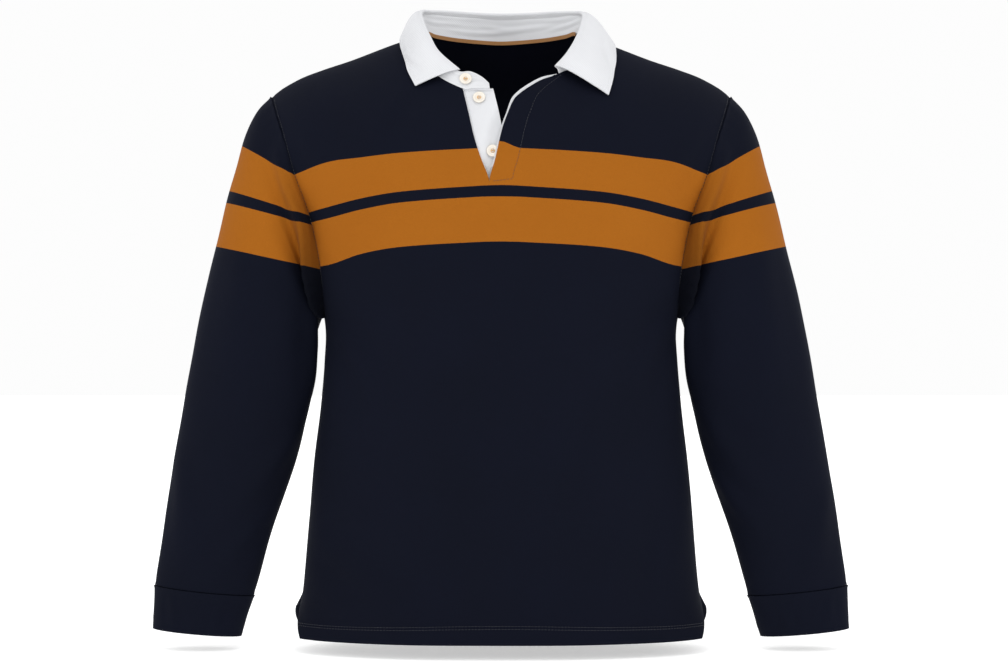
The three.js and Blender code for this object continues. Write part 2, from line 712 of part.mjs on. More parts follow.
// The strip's first column is the button side's own edge, moved in and back.
const openRows = [];
for (let r = LOWER_ROWS + SLIT_ROW; r <= LOWER_ROWS + UPPER_ROWS; r += 1) openRows.push(r);
const STRIP_SHARES = [0.25, 0.5, 0.75, 1];
const stripRows = openRows.map((r, k) => {
  const edge = front.points[front.halves[0][r][0]];
  const beside = front.points[front.halves[0][r][1]];
  const normal = front.normals[front.halves[0][r][0]];
  const tuck = beside.clone().sub(edge).normalize().multiplyScalar(STRIP_TUCK);
  const first = edge.clone().add(tuck).addScaledVector(normal, -JERSEY - CLEAR - 0.3);
  const z = k === openRows.length - 1 ? edge.z - 2 : edge.z;
  first.z = z;
  return [first, ...STRIP_SHARES.map((t) => stripPoint(edge.x + t * STRIP_WIDTH, z))];
});
const endRow = [-STRIP_TUCK, 9, 18, 27, 36].map((x) => {
  return bodyPoint(-1, buttonEdge(SLIT_Z) + x, STRIP_END_Z, -JERSEY - STRIP_UNDER - CLEAR);
});
stripRows[0][0].addScaledVector(front.normals[front.halves[0][openRows[0]][0]], -STRIP_UNDER);
const strip = gridSurface([endRow, ...stripRows], false);
shareNormals([strip]);

// The facing backs the fly, from the fly's own points moved back, and shows as
// a thin edge past it.
const facingRows = openRows.slice(1).map((r) => {
  const edge = front.points[front.halves[1][r][0]];
  const beside = front.points[front.halves[1][r][1]];
  const normals = [0, 1].map((c) => front.normals[front.halves[1][r][c]]);
  const step = beside.clone().sub(edge);
  const shows = FACING_SHOWS / step.length();
  return [-shows, 0, 0.35, 0.7].map((t) => {
    const p = edge.clone().addScaledVector(step, t);
    p.addScaledVector(normals[0].clone().lerp(normals[1], Math.max(0, t)), -JERSEY - CLEAR - 0.3);
    return p;
  });
});
// Its top row stops short of the stand.
facingRows[facingRows.length - 1].forEach((p, c) => {
  p.lerp(facingRows[facingRows.length - 2][c], 0.35).y += 0.6;
});
const facing = gridSurface(facingRows, false);
shareNormals([facing]);

// Tape over the back neck seam, inside the stand's foot.
const TAPE_HEIGHT = 7;
const tapeRows = [0, 1].map((t) => STAND.slice(...TAPE_ROWS).map((row) => {
  const low = standBase(row);
  const middle = vec(0, 10, low.z);
  const inward = middle.sub(low).normalize();
  const p = low.addScaledVector(inward, TWILL + 1.6);
  p.z += mix(-5.5, TAPE_HEIGHT - 5.5, t);
  return p;
}));
const tape = gridSurface(tapeRows, true);
shareNormals([tape]);

// ---- Buttons ---------------------------------------------------------------

// A round button with a raised rim.
const BUTTON_PROFILE = [
  [0, 0], [5.6, 0], [BUTTON_R, 0.9], [BUTTON_R, 1.7], [6.2, 2.3], [5.2, 2.2],
  [4.4, 1.7], [0, 1.7],
];

function buttonMesh(spec) {
  const points = BUTTON_PROFILE.map(([r, h]) => new THREE.Vector2(r, h));
  const geometry = new THREE.LatheGeometry(points, 16);
  const mesh = part(spec.name, geometry, SHELL, 0.4);
  const { seat, normal } = spec.z > -62 ? standSeat() : stripSeat(spec);
  mesh.quaternion.setFromUnitVectors(vec(0, 1, 0), normal);
  mesh.position.copy(seat).addScaledVector(normal, CLEAR);
  return mesh;
}

// The top button sits in the middle of the stand's height, near its end.
function standSeat() {
  const corners = [[1, 2], [1, 3], [2, 3], [2, 2]].map(([r, c]) => stand.points[stand.grid[r][c]]);
  const seat = vec(0, 0, 0);
  corners.forEach((p) => seat.addScaledVector(p, 0.25));
  const across = corners[2].clone().sub(corners[0]);
  const normal = across.cross(corners[3].clone().sub(corners[1])).multiplyScalar(-1).normalize();
  return { seat: seat.addScaledVector(normal, 0.4), normal };
}

// A point of the strip's own faces at (x, z).
function stripFacePoint(x, z) {
  const rows = strip.grid.map((row) => row.map((i) => strip.points[i]));
  let r = 0;
  while (r + 2 < rows.length && z > rows[r + 1][0].z) r += 1;
  const t = clamp01((z - rows[r][0].z) / (rows[r + 1][0].z - rows[r][0].z));
  const line = rows[r].map((p, c) => p.clone().lerp(rows[r + 1][c], t));
  let c = 0;
  while (c + 2 < line.length && x > line[c + 1].x) c += 1;
  const u = clamp01((x - line[c].x) / (line[c + 1].x - line[c].x));
  return line[c].clone().lerp(line[c + 1], u);
}

function stripSeat(spec) {
  const e = 6;
  const dx = stripFacePoint(spec.x + e, spec.z).sub(stripFacePoint(spec.x - e, spec.z));
  const dz = stripFacePoint(spec.x, spec.z + e).sub(stripFacePoint(spec.x, spec.z - e));
  const normal = dx.cross(dz).normalize();
  const seat = stripFacePoint(spec.x, spec.z).addScaledVector(normal, 0.45);
  return { seat, normal };
}

// ---- Assembly --------------------------------------------------------------

function part(name, geometry, colour, roughness) {
  const material = new THREE.MeshStandardMaterial({ color: colour, roughness, metalness: 0 });
  const mesh = new THREE.Mesh(geometry, material);
  mesh.name = name;
  return mesh;
}

const panelRooms = [room(front, JERSEY), room(back, JERSEY)];
const sleeveWall = (s) => trimmed(wall(s, JERSEY), panelRooms);
const standWall = trimmed(wall(stand, TWILL), [panelRooms[0]]);
const facingWall = trimmed(wall(facing, 0.9), [room(stand, TWILL), ...panelRooms]);

const shirt = new THREE.Group();
shirt.name = 'rugby_shirt';
shirt.add(part('front', wall(front, JERSEY), NAVY, 0.9));
shirt.add(part('back', wall(back, JERSEY), NAVY, 0.9));
shirt.add(part('sleeve_left', sleeveWall(sleeveLeft), NAVY, 0.9));
shirt.add(part('sleeve_right', sleeveWall(sleeveRight), NAVY, 0.9));
shirt.add(part('cuff_left', wall(cuffLeft, JERSEY), NAVY, 0.9));
shirt.add(part('cuff_right', wall(cuffRight, JERSEY), NAVY, 0.9));
shirt.add(part('collar_stand', standWall, CREAM, 0.85));
shirt.add(part('collar_leaf', wall(leaf, TWILL), CREAM, 0.85));
shirt.add(part('button_strip', wall(strip, TWILL), CREAM, 0.85));
shirt.add(part('fly_facing', facingWall, CREAM, 0.85));
shirt.add(part('neck_tape', wall(tape, 0.8), TAN, 0.85));
BUTTONS.forEach((spec) => shirt.add(buttonMesh(spec)));

export default shirt;
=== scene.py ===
# A man's long-sleeved rugby shirt, filled out as if worn, with nobody in it.
# The tables are in millimetres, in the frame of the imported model.
import bpy
import math
import numpy as np
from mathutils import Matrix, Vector


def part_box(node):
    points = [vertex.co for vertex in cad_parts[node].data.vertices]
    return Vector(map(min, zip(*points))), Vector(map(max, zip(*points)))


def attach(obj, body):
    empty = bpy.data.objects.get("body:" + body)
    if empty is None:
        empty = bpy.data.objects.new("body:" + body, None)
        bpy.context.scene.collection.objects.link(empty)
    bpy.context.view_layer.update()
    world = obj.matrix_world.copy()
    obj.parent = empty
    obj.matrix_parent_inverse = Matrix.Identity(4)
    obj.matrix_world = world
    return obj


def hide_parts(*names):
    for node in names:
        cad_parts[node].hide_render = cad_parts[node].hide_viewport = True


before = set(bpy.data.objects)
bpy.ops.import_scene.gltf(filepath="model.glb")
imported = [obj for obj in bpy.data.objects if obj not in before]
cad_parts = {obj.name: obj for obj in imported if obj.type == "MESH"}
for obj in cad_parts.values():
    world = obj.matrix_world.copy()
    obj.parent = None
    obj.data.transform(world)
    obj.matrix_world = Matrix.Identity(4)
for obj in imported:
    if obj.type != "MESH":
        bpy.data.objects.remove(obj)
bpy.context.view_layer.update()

# ---- Sizes ------------------------------------------------------------------

JERSEY = 1.5  # jersey wall
TWILL = 1.4  # collar and placket twill wall
SEAM = 0.2  # each piece stops this far short of a seam
CLEAR = 0.5  # gap between the button strip and the front
HEM_Z = -720
BACK_HEM_Z = -708
VENT_Z = -666
ARMPIT_Z = -327
SLIT_Z = -176
NECK_SIDE = (94, 13)
SHOULDER_TIP = (279.6, -64.7)
STRIP_WIDTH = 36
STRIP_TUCK = 5  # button strip under the left front
STRIP_UNDER = 4.6  # how much further back the strip lies under the fly
STRIP_END_Z = -188
NECK_SHARE = 4 / 9  # share of a half panel's columns that end on the neckline
SLIT_SHARE = 6 / 11  # share of the rows above the armpit below the opening
LOWER_STEPS = (16, 62)  # rows from hem to vent and from vent to armpit
UPPER_STEPS = 110
HALF_STEPS = 72
SLEEVE_STEPS = 215
CUFF_STEPS = 26
STAND_STEPS = 260
STAND_ROWS = 14
STAND_HEIGHT = 35
STAND_PROUD = 0.4  # height of its foot over the cloth
STAND_PITCH = 22  # length of the stand from one row of its table to the next
LEAF_STEPS = 260
LEAF_LENGTH = 520
LEAF_FALL = 60  # from the leaf's roll down to its edge
ROLL = 2.75  # how tightly the leaf turns over the stand
FLOOR_Z = -0.738  # metres


def table(names, rows):
    return {n: [row[i] for row in rows] for i, n in enumerate(names.split())}


BODY = table("z half backHalf front back", [
    (-720, 257, 275, 98, 92),
    (-690, 247, 256, 99, 93),
    (-666, 241.5, 241.5, 100, 93),
    (-581, 234, 234, 103, 95),
    (-507, 227.5, 227.5, 106, 98),
    (-434, 219, 219, 110, 102),
    (-361, 213.5, 213.5, 116, 108),
    (-327, 217, 217, 119, 110),
    (-276, 236, 236, 123, 113),
    (-212, 255, 255, 127, 116),
    (-165, 285, 285, 128, 117),
    (-117, 303, 303, 128, 116),
    (-65, 318, 318, 128, 114),
    (46, 330, 330, 128, 112),
])
RIDGE = table("x z frontDrop backDrop y", [
    (0, 46, 224, 140, 8),
    (40, 36, 216, 136, 8),
    (70, 25, 206, 132, 7),
    (94, 13, 200, 130, 6),
    (133, -0.5, 186, 126, 4),
    (182, -19.5, 165, 120, 2),
    (218, -31.7, 146, 114, 1),
    (248, -43.9, 134, 110, 0),
    (280, -65, 126, 106, 0),
    (330, -120, 120, 100, 0),
])
ARMHOLE = table("z front back", [
    (-327, 217, 217),
    (-309, 214.8, 216),
    (-276, 217, 219),
    (-246, 222, 225),
    (-212, 230, 234),
    (-191, 237, 241),
    (-165, 246.5, 250),
    (-117, 260.7, 264),
    (-90, 270.5, 272),
    (-64.7, 279.6, 279.6),
])
BUTTON_EDGE = table("z x", [
    (-327, 0),
    (-250, -6),
    (-176, -13.3),
    (-148, -23.4),
    (-124, -31),
    (-91.5, -38.5),
    (-64.5, -45),
])
FLY_EDGE = table("z x", [
    (-327, 0),
    (-250, -6),
    (-176, -13.3),
    (-150.7, -6.8),
    (-114.3, 1.4),
    (-95, 8),
    (-78, 15.4),
    (-70, 23),
    (-60.6, 36),
    (-52.5, 50),
    (-46, 70),
])
NECK_BUTTON_SIDE = table("at x z", [
    (0, -45, -64.5),
    (0.25, -72, -50),
    (0.5, -88, -32),
    (0.75, -95, -10),
    (1, -94, 13),
])
NECK_FLY_SIDE = table("at x z", [
    (0, 70, -46),
    (0.25, 84, -38),
    (0.5, 92.5, -24),
    (0.75, 96, -5),
    (1, 94, 13),
])
NECK_BACK = table("at x z", [
    (0, 0, 10),
    (0.25, 31, 10.5),
    (0.5, 60, 11.5),
    (0.75, 82, 12.5),
    (1, 94, 13),
])
SLEEVE = table("outX outZ inX inZ front back fold", [
    (296, -84, 218.5, -329.5, 64, 60, 0.2),
    (310, -113, 219.5, -332, 66, 64, 0.14),
    (321, -152, 221, -336, 68, 67, 0.07),
    (333.5, -196, 223, -343, 68, 68, 0.03),
    (347, -252, 225, -354, 66, 66, 0),
    (361.5, -313, 226.5, -374, 60, 61, 0),
    (376, -386, 230.5, -418, 53, 55, 0),
    (392, -478, 251, -506, 46, 48, 0),
    (407, -567, 279, -587, 38, 40, 0),
    (420, -659, 303, -671, 29, 31, 0),
])
CUFF = table("outX outZ inX inZ front back fold", [
    (420, -659, 303, -671, 29, 31, 0),
    (421, -684, 311.5, -696, 27, 29, 0),
    (422.5, -712, 318.5, -721, 26, 28, 0),
])
STAND = table("on c x z topX topY topZ", [
    ("strip", None, -13, -64, -14, -83, -57),
    ("strip", None, -23, -64.5, -23, -80, -49),
    ("strip", None, -34, -64.5, -36, -80, -43),
    ("button side", 0, None, None, -52, -83, -42),
    ("button side", 1, None, None, -76, -77, -21),
    ("button side", 2, None, None, -87, -63, -1),
    ("button side", 3, None, None, -95, -37, 19),
    ("back right", 4, None, None, -99, 2, 38),
    ("back right", 3, None, None, -88, 30, 43),
    ("back right", 2, None, None, -65, 50, 45),
    ("back right", 1, None, None, -34, 62, 44.5),
    ("back right", 0, None, None, 0, 67, 44),
    ("back left", 1, None, None, 34, 62, 44),
    ("back left", 2, None, None, 65, 50, 44),
    ("back left", 3, None, None, 89, 30, 42),
    ("back left", 4, None, None, 102, 2, 36),
    ("fly side", 3, None, None, 99, -30, 17),
    ("fly side", 2, None, None, 91, -54, -4),
    ("fly side", 1, None, None, 80, -72, -23),
    ("fly side", 0, None, None, 67, -80, -38),
])
LEAF_EDGE = table("x z face lift", [
    (-101, -62, -1, 4),
    (-110, -44, -1, 4),
    (-116, -27, -1, 4),
    (-121, -9, -1, 4.5),
    (-123, 0, 0, 5),
    (-110, -1, 1, 6),
    (-84, -3, 1, 8),
    (-44, -4, 1, 9),
    (0, -4, 1, 9),
    (44, -4, 1, 9),
    (86, -4, 1, 8),
    (118, -2, 1, 6),
    (137, -4, 0, 5),
    (138, -18, -1, 4.5),
    (136, -37, -1, 4),
    (132, -56, -1, 4),
    (127, -73, -1, 4),
])
LEAF_START = 3  # the row of STAND where the leaf begins

# Edges of the two bands on the front, by distance from the middle.
BANDS_FRONT = table("x top1 low1 top2 low2", [
    (0, -136.5, -180, -193.5, -246),
    (25, -137, -181, -194, -246.5),
    (118, -142, -187.6, -200.4, -252),
    (165, -147, -195, -208, -259.6),
    (203, -151.4, -203.5, -216.5, -271),
    (246, -165, -212.7, -224, -276),
    (290, -180, -222, -232, -281),
])
BANDS_BACK = table("x top1 low1 top2 low2", [
    (0, -152, -200, -213, -264),
    (120, -153, -201, -214, -266),
    (203, -158, -206, -219, -272),
    (250, -165, -212.7, -224, -276),
    (290, -176, -222, -232, -281),
])
# Edges of the bands on a sleeve, at its outer and its inner side.
BANDS_SLEEVE = table("outX outZ inX inZ", [
    (312, -126.6, 246.5, -165),
    (329, -180.3, 230, -212.7),
    (332, -195, 226, -224),
    (346.5, -247.4, 217, -276),
])
BAND_LEVELS = (0, 50, 63, 113)  # the band coordinate at those edges
BELOW_BANDS = 200  # a band coordinate past them all

# Soft folds of the front and the back: depth and half width, then the line
# that each one follows as x, z pairs.
FOLDS_FRONT = [
    (2.6, 13, [(205, -318), (176, -350), (150, -392), (138, -440)]),
    (2.0, 11, [(212, -345), (190, -382), (176, -430)]),
    (2.4, 12, [(-207, -322), (-172, -352), (-140, -385), (-118, -420)]),
    (1.8, 10, [(-210, -352), (-186, -396), (-170, -455), (-163, -500)]),
    (1.7, 15, [(224, -272), (182, -262), (140, -262), (100, -270)]),
    (1.5, 14, [(-226, -268), (-190, -262), (-150, -268)]),
    (2.2, 18, [(-212, -560), (-168, -608), (-122, -640), (-70, -656)]),
    (1.6, 14, [(-218, -620), (-180, -654), (-140, -676)]),
    (1.9, 17, [(206, -520), (182, -580), (168, -640), (160, -700)]),
    (1.4, 15, [(100, -420), (92, -500), (98, -590)]),
    (1.3, 16, [(-40, -430), (-52, -520), (-46, -610), (-56, -690)]),
    (1.2, 14, [(36, -560), (30, -640), (38, -712)]),
    (1.5, 12, [(-100, -72), (-120, -104), (-126, -140)]),
    (1.3, 12, [(118, -84), (126, -118), (122, -150)]),
    (1.6, 10, [(250, -108), (236, -150), (214, -190)]),
    (1.4, 10, [(-252, -112), (-240, -150), (-222, -182)]),
]
FOLDS_BACK = [
    (2.8, 14, [(208, -318), (170, -342), (130, -380), (104, -430)]),
    (2.2, 12, [(-208, -316), (-176, -346), (-146, -392), (-130, -450)]),
    (1.8, 12, [(212, -352), (184, -400), (168, -462)]),
    (2.0, 18, [(-60, -60), (-20, -78), (30, -80), (80, -66)]),
    (1.4, 16, [(-90, -96), (-30, -112), (36, -108)]),
    (2.3, 20, [(-60, -420), (-10, -440), (60, -436), (110, -418)]),
    (1.9, 19, [(-100, -474), (-40, -496), (40, -492)]),
    (1.6, 17, [(-20, -540), (50, -552), (116, -538)]),
    (1.5, 16, [(150, -560), (156, -630), (148, -700)]),
    (1.6, 17, [(-170, -540), (-158, -620), (-166, -700)]),
    (1.3, 14, [(40, -610), (34, -690)]),
    (1.7, 11, [(252, -110), (240, -160), (222, -212)]),
    (1.6, 11, [(-254, -112), (-238, -164), (-224, -220)]),
]
# Folds of a sleeve: the line is the distance down the sleeve and the turn
# round it in degrees, 0 under the arm, 90 at the front, 180 outside.
FOLDS_LEFT = [
    (3.6, 12, [(40, 26), (95, 22), (165, 14), (236, 8)]),
    (2.0, 15, [(60, 120), (140, 112), (230, 104), (320, 96)]),
    (2.3, 13, [(250, 30), (310, 52), (370, 84)]),
    (1.9, 12, [(330, 20), (382, 46), (430, 80)]),
    (1.8, 15, [(370, 150), (430, 120), (500, 104)]),
    (1.5, 12, [(470, 60), (540, 84), (596, 98)]),
    (2.2, 14, [(60, 250), (150, 262), (240, 270)]),
    (2.0, 14, [(300, 330), (360, 296), (430, 262)]),
    (1.8, 13, [(430, 200), (500, 236), (570, 262)]),
]
FOLDS_RIGHT = [
    (3.4, 12, [(44, 27), (100, 21), (172, 13), (244, 7)]),
    (1.8, 16, [(90, 114), (170, 108), (280, 102)]),
    (2.1, 13, [(276, 24), (330, 50), (392, 76)]),
    (1.6, 12, [(380, 30), (440, 66), (486, 92)]),
    (1.9, 15, [(330, 152), (400, 128), (480, 110)]),
    (1.4, 12, [(500, 50), (560, 78), (606, 90)]),
    (2.0, 14, [(80, 244), (160, 258), (260, 272)]),
    (2.2, 14, [(320, 322), (384, 290), (452, 254)]),
    (1.5, 13, [(470, 206), (530, 238), (590, 256)]),
]


# ---- Small helpers ----------------------------------------------------------


def column(at, value):
    """Reads one column of a table as a smooth function of another."""
    at = np.array(at, float)
    value = np.array(value, float)
    low = np.maximum(np.arange(len(at)) - 1, 0)
    high = np.minimum(np.arange(len(at)) + 1, len(at) - 1)
    wide = (slice(None),) + (None,) * (value.ndim - 1)
    slope = (value[high] - value[low]) / (at[high] - at[low])[wide]

    def read(x):
        x = np.clip(np.asarray(x, float), at[0], at[-1])
        i = np.clip(np.searchsorted(at, x, side="right") - 1, 0, len(at) - 2)
        step = at[i + 1] - at[i]
        t = (x - at[i]) / step
        t, step = (v.reshape(v.shape + (1,) * (value.ndim - 1)) for v in (t, step))
        a = value[i] * (1 + 2 * t) * (1 - t) ** 2 + slope[i] * step * t * (1 - t) ** 2
        b = value[i + 1] * t * t * (3 - 2 * t) - slope[i + 1] * step * t * t * (1 - t)
        return a + b

    return read


def columns(rows, key):
    return {name: column(rows[key], rows[name]) for name in rows if name != key}


def mix(a, b, t):
    return a + (b - a) * t


def smooth(t):
    t = np.clip(t, 0, 1)
    return t * t * (3 - 2 * t)


def lengths(points):
    """How far along a line each of its points lies."""
    return np.concatenate([[0], np.cumsum(np.linalg.norm(np.diff(points, axis=0), axis=1))])


def placed(name, data):
    """Puts a mesh, light or camera into the scene."""
    obj = bpy.data.objects.new(name, data)
    bpy.context.scene.collection.objects.link(obj)
    return obj


def unit(v):
    return v / np.maximum(np.linalg.norm(v, axis=-1, keepdims=True), 1e-9)


def xyz(x, y, z):
    return np.stack(np.broadcast_arrays(x, y, z), axis=-1).astype(float)


body = columns(BODY, "z")
ridge = columns(RIDGE, "x")
armhole = columns(ARMHOLE, "z")
button_edge = column(BUTTON_EDGE["z"], BUTTON_EDGE["x"])
fly_edge = column(FLY_EDGE["z"], FLY_EDGE["x"])

# ---- The body's surface -----------------------------------------------------


def half_width(face, z):
    if face < 0:
        return body["half"](z)
    return np.where(z < VENT_Z, body["backHalf"](z), body["half"](z))


def body_y(face, x, z):
    far = np.abs(x)
    half = half_width(face, z)
    deep = body["front" if face < 0 else "back"](z)
    drop = ridge["frontDrop" if face < 0 else "backDrop"](far)
    share = np.clip((ridge["z"](far) - z) / drop, 0, 1)
    roof = (1 - (1 - share) ** 2) ** 0.75
    side = np.sqrt(np.maximum(0, 1 - (far / half) ** 2.5))
    middle = ridge["y"](far) * smooth((z - ARMPIT_Z) / 177)
    return middle + face * deep * side * roof


def body_normal(face, x, z):
    e = 1.5
    dx = xyz(x + e, body_y(face, x + e, z), z) - xyz(x - e, body_y(face, x - e, z), z)
    dz = xyz(x, body_y(face, x, z + e), z + e) - xyz(x, body_y(face, x, z - e), z - e)
    return unit(np.cross(dx, dz)) * -face


def body_point(face, x, z, lift=0.0):
    x, z = np.broadcast_arrays(np.asarray(x, float), np.asarray(z, float))
    p = xyz(x, body_y(face, x, z), z)
    lift = np.asarray(lift, float)
    if np.any(lift):
        p = p + body_normal(face, x, z) * lift[..., None]
    return p


def half_panel(face, sign, neck, middle_x, slit):
    """Rows of points from the hem up, each from the middle to the side."""
    hem = HEM_Z if face < 0 else BACK_HEM_Z
    u = np.linspace(0, 1, HALF_STEPS + 1)
    low = np.linspace(hem, VENT_Z, LOWER_STEPS[0] + 1)
    high = np.linspace(VENT_Z, ARMPIT_Z, LOWER_STEPS[1] + 1)[1:-1]
    z = np.concatenate([low, high])[:, None]
    opened = np.clip((VENT_Z - z) / (VENT_Z - hem), 0, 1)
    widest = np.radians(90 - 20 * opened**1.3)
    x = sign * half_width(face, z) * np.sin(widest * u)
    lower = body_point(face, x, z + 0 * u)

    k = np.linspace(0, 1, UPPER_STEPS + 1)[:, None]
    share = (1 - np.cos(np.pi * k)) / 2
    neck_x, neck_z = column(neck["at"], neck["x"]), column(neck["at"], neck["z"])
    t = np.clip((u - NECK_SHARE) / (1 - NECK_SHARE), 0, 1)
    ridge_x = mix(NECK_SIDE[0], SHOULDER_TIP[0], t)
    on_neck = u <= NECK_SHARE
    top_x = np.where(on_neck, neck_x(u / NECK_SHARE), sign * ridge_x)
    top_z = np.where(on_neck, neck_z(u / NECK_SHARE), ridge["z"](ridge_x))
    top_z[-1] = SHOULDER_TIP[1]
    side_z = mix(ARMPIT_Z, SHOULDER_TIP[1], share)
    side_x = armhole["front" if face < 0 else "back"](side_z)
    plain = mix(ARMPIT_Z, top_z[0], share)
    middle = plain
    if slit:
        slit_share = (1 - math.cos(math.pi * SLIT_SHARE)) / 2
        below = mix(ARMPIT_Z, SLIT_Z, share / slit_share)
        above = mix(SLIT_Z, top_z[0], (share - slit_share) / (1 - slit_share))
        middle = np.where(k <= SLIT_SHARE + 1e-9, below, above)
    blend = smooth(k)
    across = mix(np.sin(np.pi / 2 * u), np.abs(top_x) / SHOULDER_TIP[0], blend)
    start = mix(0, abs(top_x[0]) / SHOULDER_TIP[0], blend)
    z = mix(ARMPIT_Z, top_z, share) + (middle - plain) * (1 - u) ** 2
    shift = (middle_x(middle) - sign * side_x * start) * (1 - u) ** 6
    x = sign * side_x * across + shift
    upper = body_point(face, x, z)
    upper[-1] = body_point(face, top_x, top_z)
    far = np.abs(top_x[~on_neck])
    upper[-1][~on_neck] = xyz(top_x[~on_neck], ridge["y"](far), top_z[~on_neck])
    upper[0, -1] = (sign * side_x[0, 0], 0, ARMPIT_Z)
    return np.concatenate([lower, upper])


def fold_height(a, b, folds):
    """Height of the given folds at points (a, b): soft troughs with low ridges beside them,
    fading towards their ends."""
    out = np.zeros(np.shape(a))
    for depth, wide, line in folds:
        line = np.array(line, float)
        fine = column(np.arange(len(line)), line)(np.linspace(0, len(line) - 1, 40))
        best = np.full(np.shape(a), 1e9)
        along = np.zeros(np.shape(a))
        for i in range(len(fine) - 1):
            p, d = fine[i], fine[i + 1] - fine[i]
            t = np.clip(((a - p[0]) * d[0] + (b - p[1]) * d[1]) / (d @ d), 0, 1)
            far = np.hypot(a - p[0] - t * d[0], b - p[1] - t * d[1])
            nearer = far < best
            best = np.where(nearer, far, best)
            along = np.where(nearer, (i + t) / (len(fine) - 1), along)
        fade = 1.35 * np.sin(np.pi * np.clip(along, 0.02, 0.98)) ** 0.8
        w = wide * (0.75 + 0.5 * along)
        trough = np.exp(-((best / w) ** 2))
        ridges = np.exp(-(((best - 1.9 * w) / w) ** 2))
        out -= depth * fade * (trough - 0.4 * ridges)
    return out


# ---- Surfaces ---------------------------------------------------------------


class Surface:
    """Points, four-sided faces that look outwards, and named grids of points."""

    def __init__(self):
        self.points = np.zeros((0, 3))
        self.quads = np.zeros((0, 4), int)
        self.grids = []

    def add(self, grid_points, flip, closed=False, shared=None):
        rows, cols = grid_points.shape[:2]
        ids = len(self.points) + np.arange(rows * cols).reshape(rows, cols)
        self.points = np.concatenate([self.points, grid_points.reshape(-1, 3)])
        if shared is not None:
            first, count = shared
            ids[:count, 0] = self.grids[first][:count, 0]
        self.grids.append(ids)
        full = np.concatenate([ids, ids[:, :1]], axis=1) if closed else ids
        quads = np.stack([full[:-1, :-1], full[:-1, 1:], full[1:, 1:], full[1:, :-1]], -1)
        quads = quads.reshape(-1, 4)
        self.quads = np.concatenate([self.quads, quads[:, ::-1] if flip else quads])
        return self

    def normals(self):
        p, q = self.points, self.quads
        n = np.cross(p[q[:, 2]] - p[q[:, 0]], p[q[:, 3]] - p[q[:, 1]])
        total = np.zeros_like(p)
        for k in range(4):
            np.add.at(total, q[:, k], n)
        return unit(total)


def shell_mesh(name, s, thick, values=None):
    """A closed shell: the surface outside, the same moved in by its thickness
    inside, and a strip along each open edge."""
    used = np.unique(s.quads)
    renumber = np.zeros(len(s.points), int)
    renumber[used] = np.arange(len(used))
    normals = s.normals()[used]
    points = s.points[used]
    quads = renumber[s.quads]
    n = len(points)
    t = np.broadcast_to(thick, (len(s.points),))[used][:, None]
    inner = points - normals * t
    edges = np.concatenate([quads[:, [k, (k + 1) % 4]] for k in range(4)])
    codes = edges[:, 0] * n + edges[:, 1]
    back = edges[:, 1] * n + edges[:, 0]
    rim = edges[~np.isin(codes, back)]
    sides = np.stack([rim[:, 1], rim[:, 0], n + rim[:, 0], n + rim[:, 1]], -1)
    faces = np.concatenate([quads, n + quads[:, ::-1], sides])
    mesh = bpy.data.meshes.new(name)
    mesh.from_pydata((np.concatenate([points, inner]) / 1000).tolist(), [], faces.tolist())
    mesh.validate()
    mesh.update()
    if values is not None:
        for key, value in values.items():
            spot = mesh.attributes.new(key, "FLOAT", "POINT")
            spot.data.foreach_set("value", np.tile(value[used], 2).astype(np.float32))
    mesh.polygons.foreach_set("use_smooth", [True] * len(mesh.polygons))
    sharp = mesh.attributes.new("sharp_edge", "BOOLEAN", "EDGE")
    rim_codes = set((rim.min(1) * 4 * n + rim.max(1)).tolist())
    pairs = np.zeros(len(mesh.edges) * 2, int)
    mesh.edges.foreach_get("vertices", pairs)
    pairs = pairs.reshape(-1, 2)
    low, high = pairs.min(1), pairs.max(1)
    outer = np.where((low < n) & (high < n), low * 4 * n + high, -1)
    inside = np.where((low >= n) & (high >= n), (low - n) * 4 * n + high - n, -1)
    mark = [a in rim_codes or b in rim_codes for a, b in zip(outer.tolist(), inside.tolist())]
    sharp.data.foreach_set("value", mark)
    return placed(name, mesh)


def pull(grid, edge, beside, by):
    """Stops a grid short of a seam by moving its edge towards the row beside."""
    step = unit(grid[beside] - grid[edge])
    grid[edge] = grid[edge] + step * by


def band_value(lines, x, z):
    """The band coordinate: how far down the bands a point lies."""
    z_at = [line(np.abs(x)) for line in lines]
    for i in range(3):
        t = (z_at[i] - z) / (z_at[i] - z_at[i + 1])
        piece = mix(BAND_LEVELS[i], BAND_LEVELS[i + 1], t)
        out = piece if i == 0 else np.where(z < z_at[i], piece, out)
    return out


# ---- Panels -----------------------------------------------------------------

SLIT_INDEX = sum(LOWER_STEPS) + round(UPPER_STEPS * SLIT_SHARE)
TOP_INDEX = sum(LOWER_STEPS) + UPPER_STEPS
ARM_INDEX = sum(LOWER_STEPS)
NECK_INDEX = round(HALF_STEPS * NECK_SHARE)


def ripple(p, size, seed):
    """A slow unevenness of the cloth, from a few waves that cross."""
    rng = np.random.default_rng(seed)
    out = 0
    for _ in range(6):
        way = unit(rng.normal(size=3)) / (size * rng.uniform(0.7, 1.6))
        out = out + np.sin(p @ way * 2 * math.pi + rng.uniform(0, 6))
    return out / 6


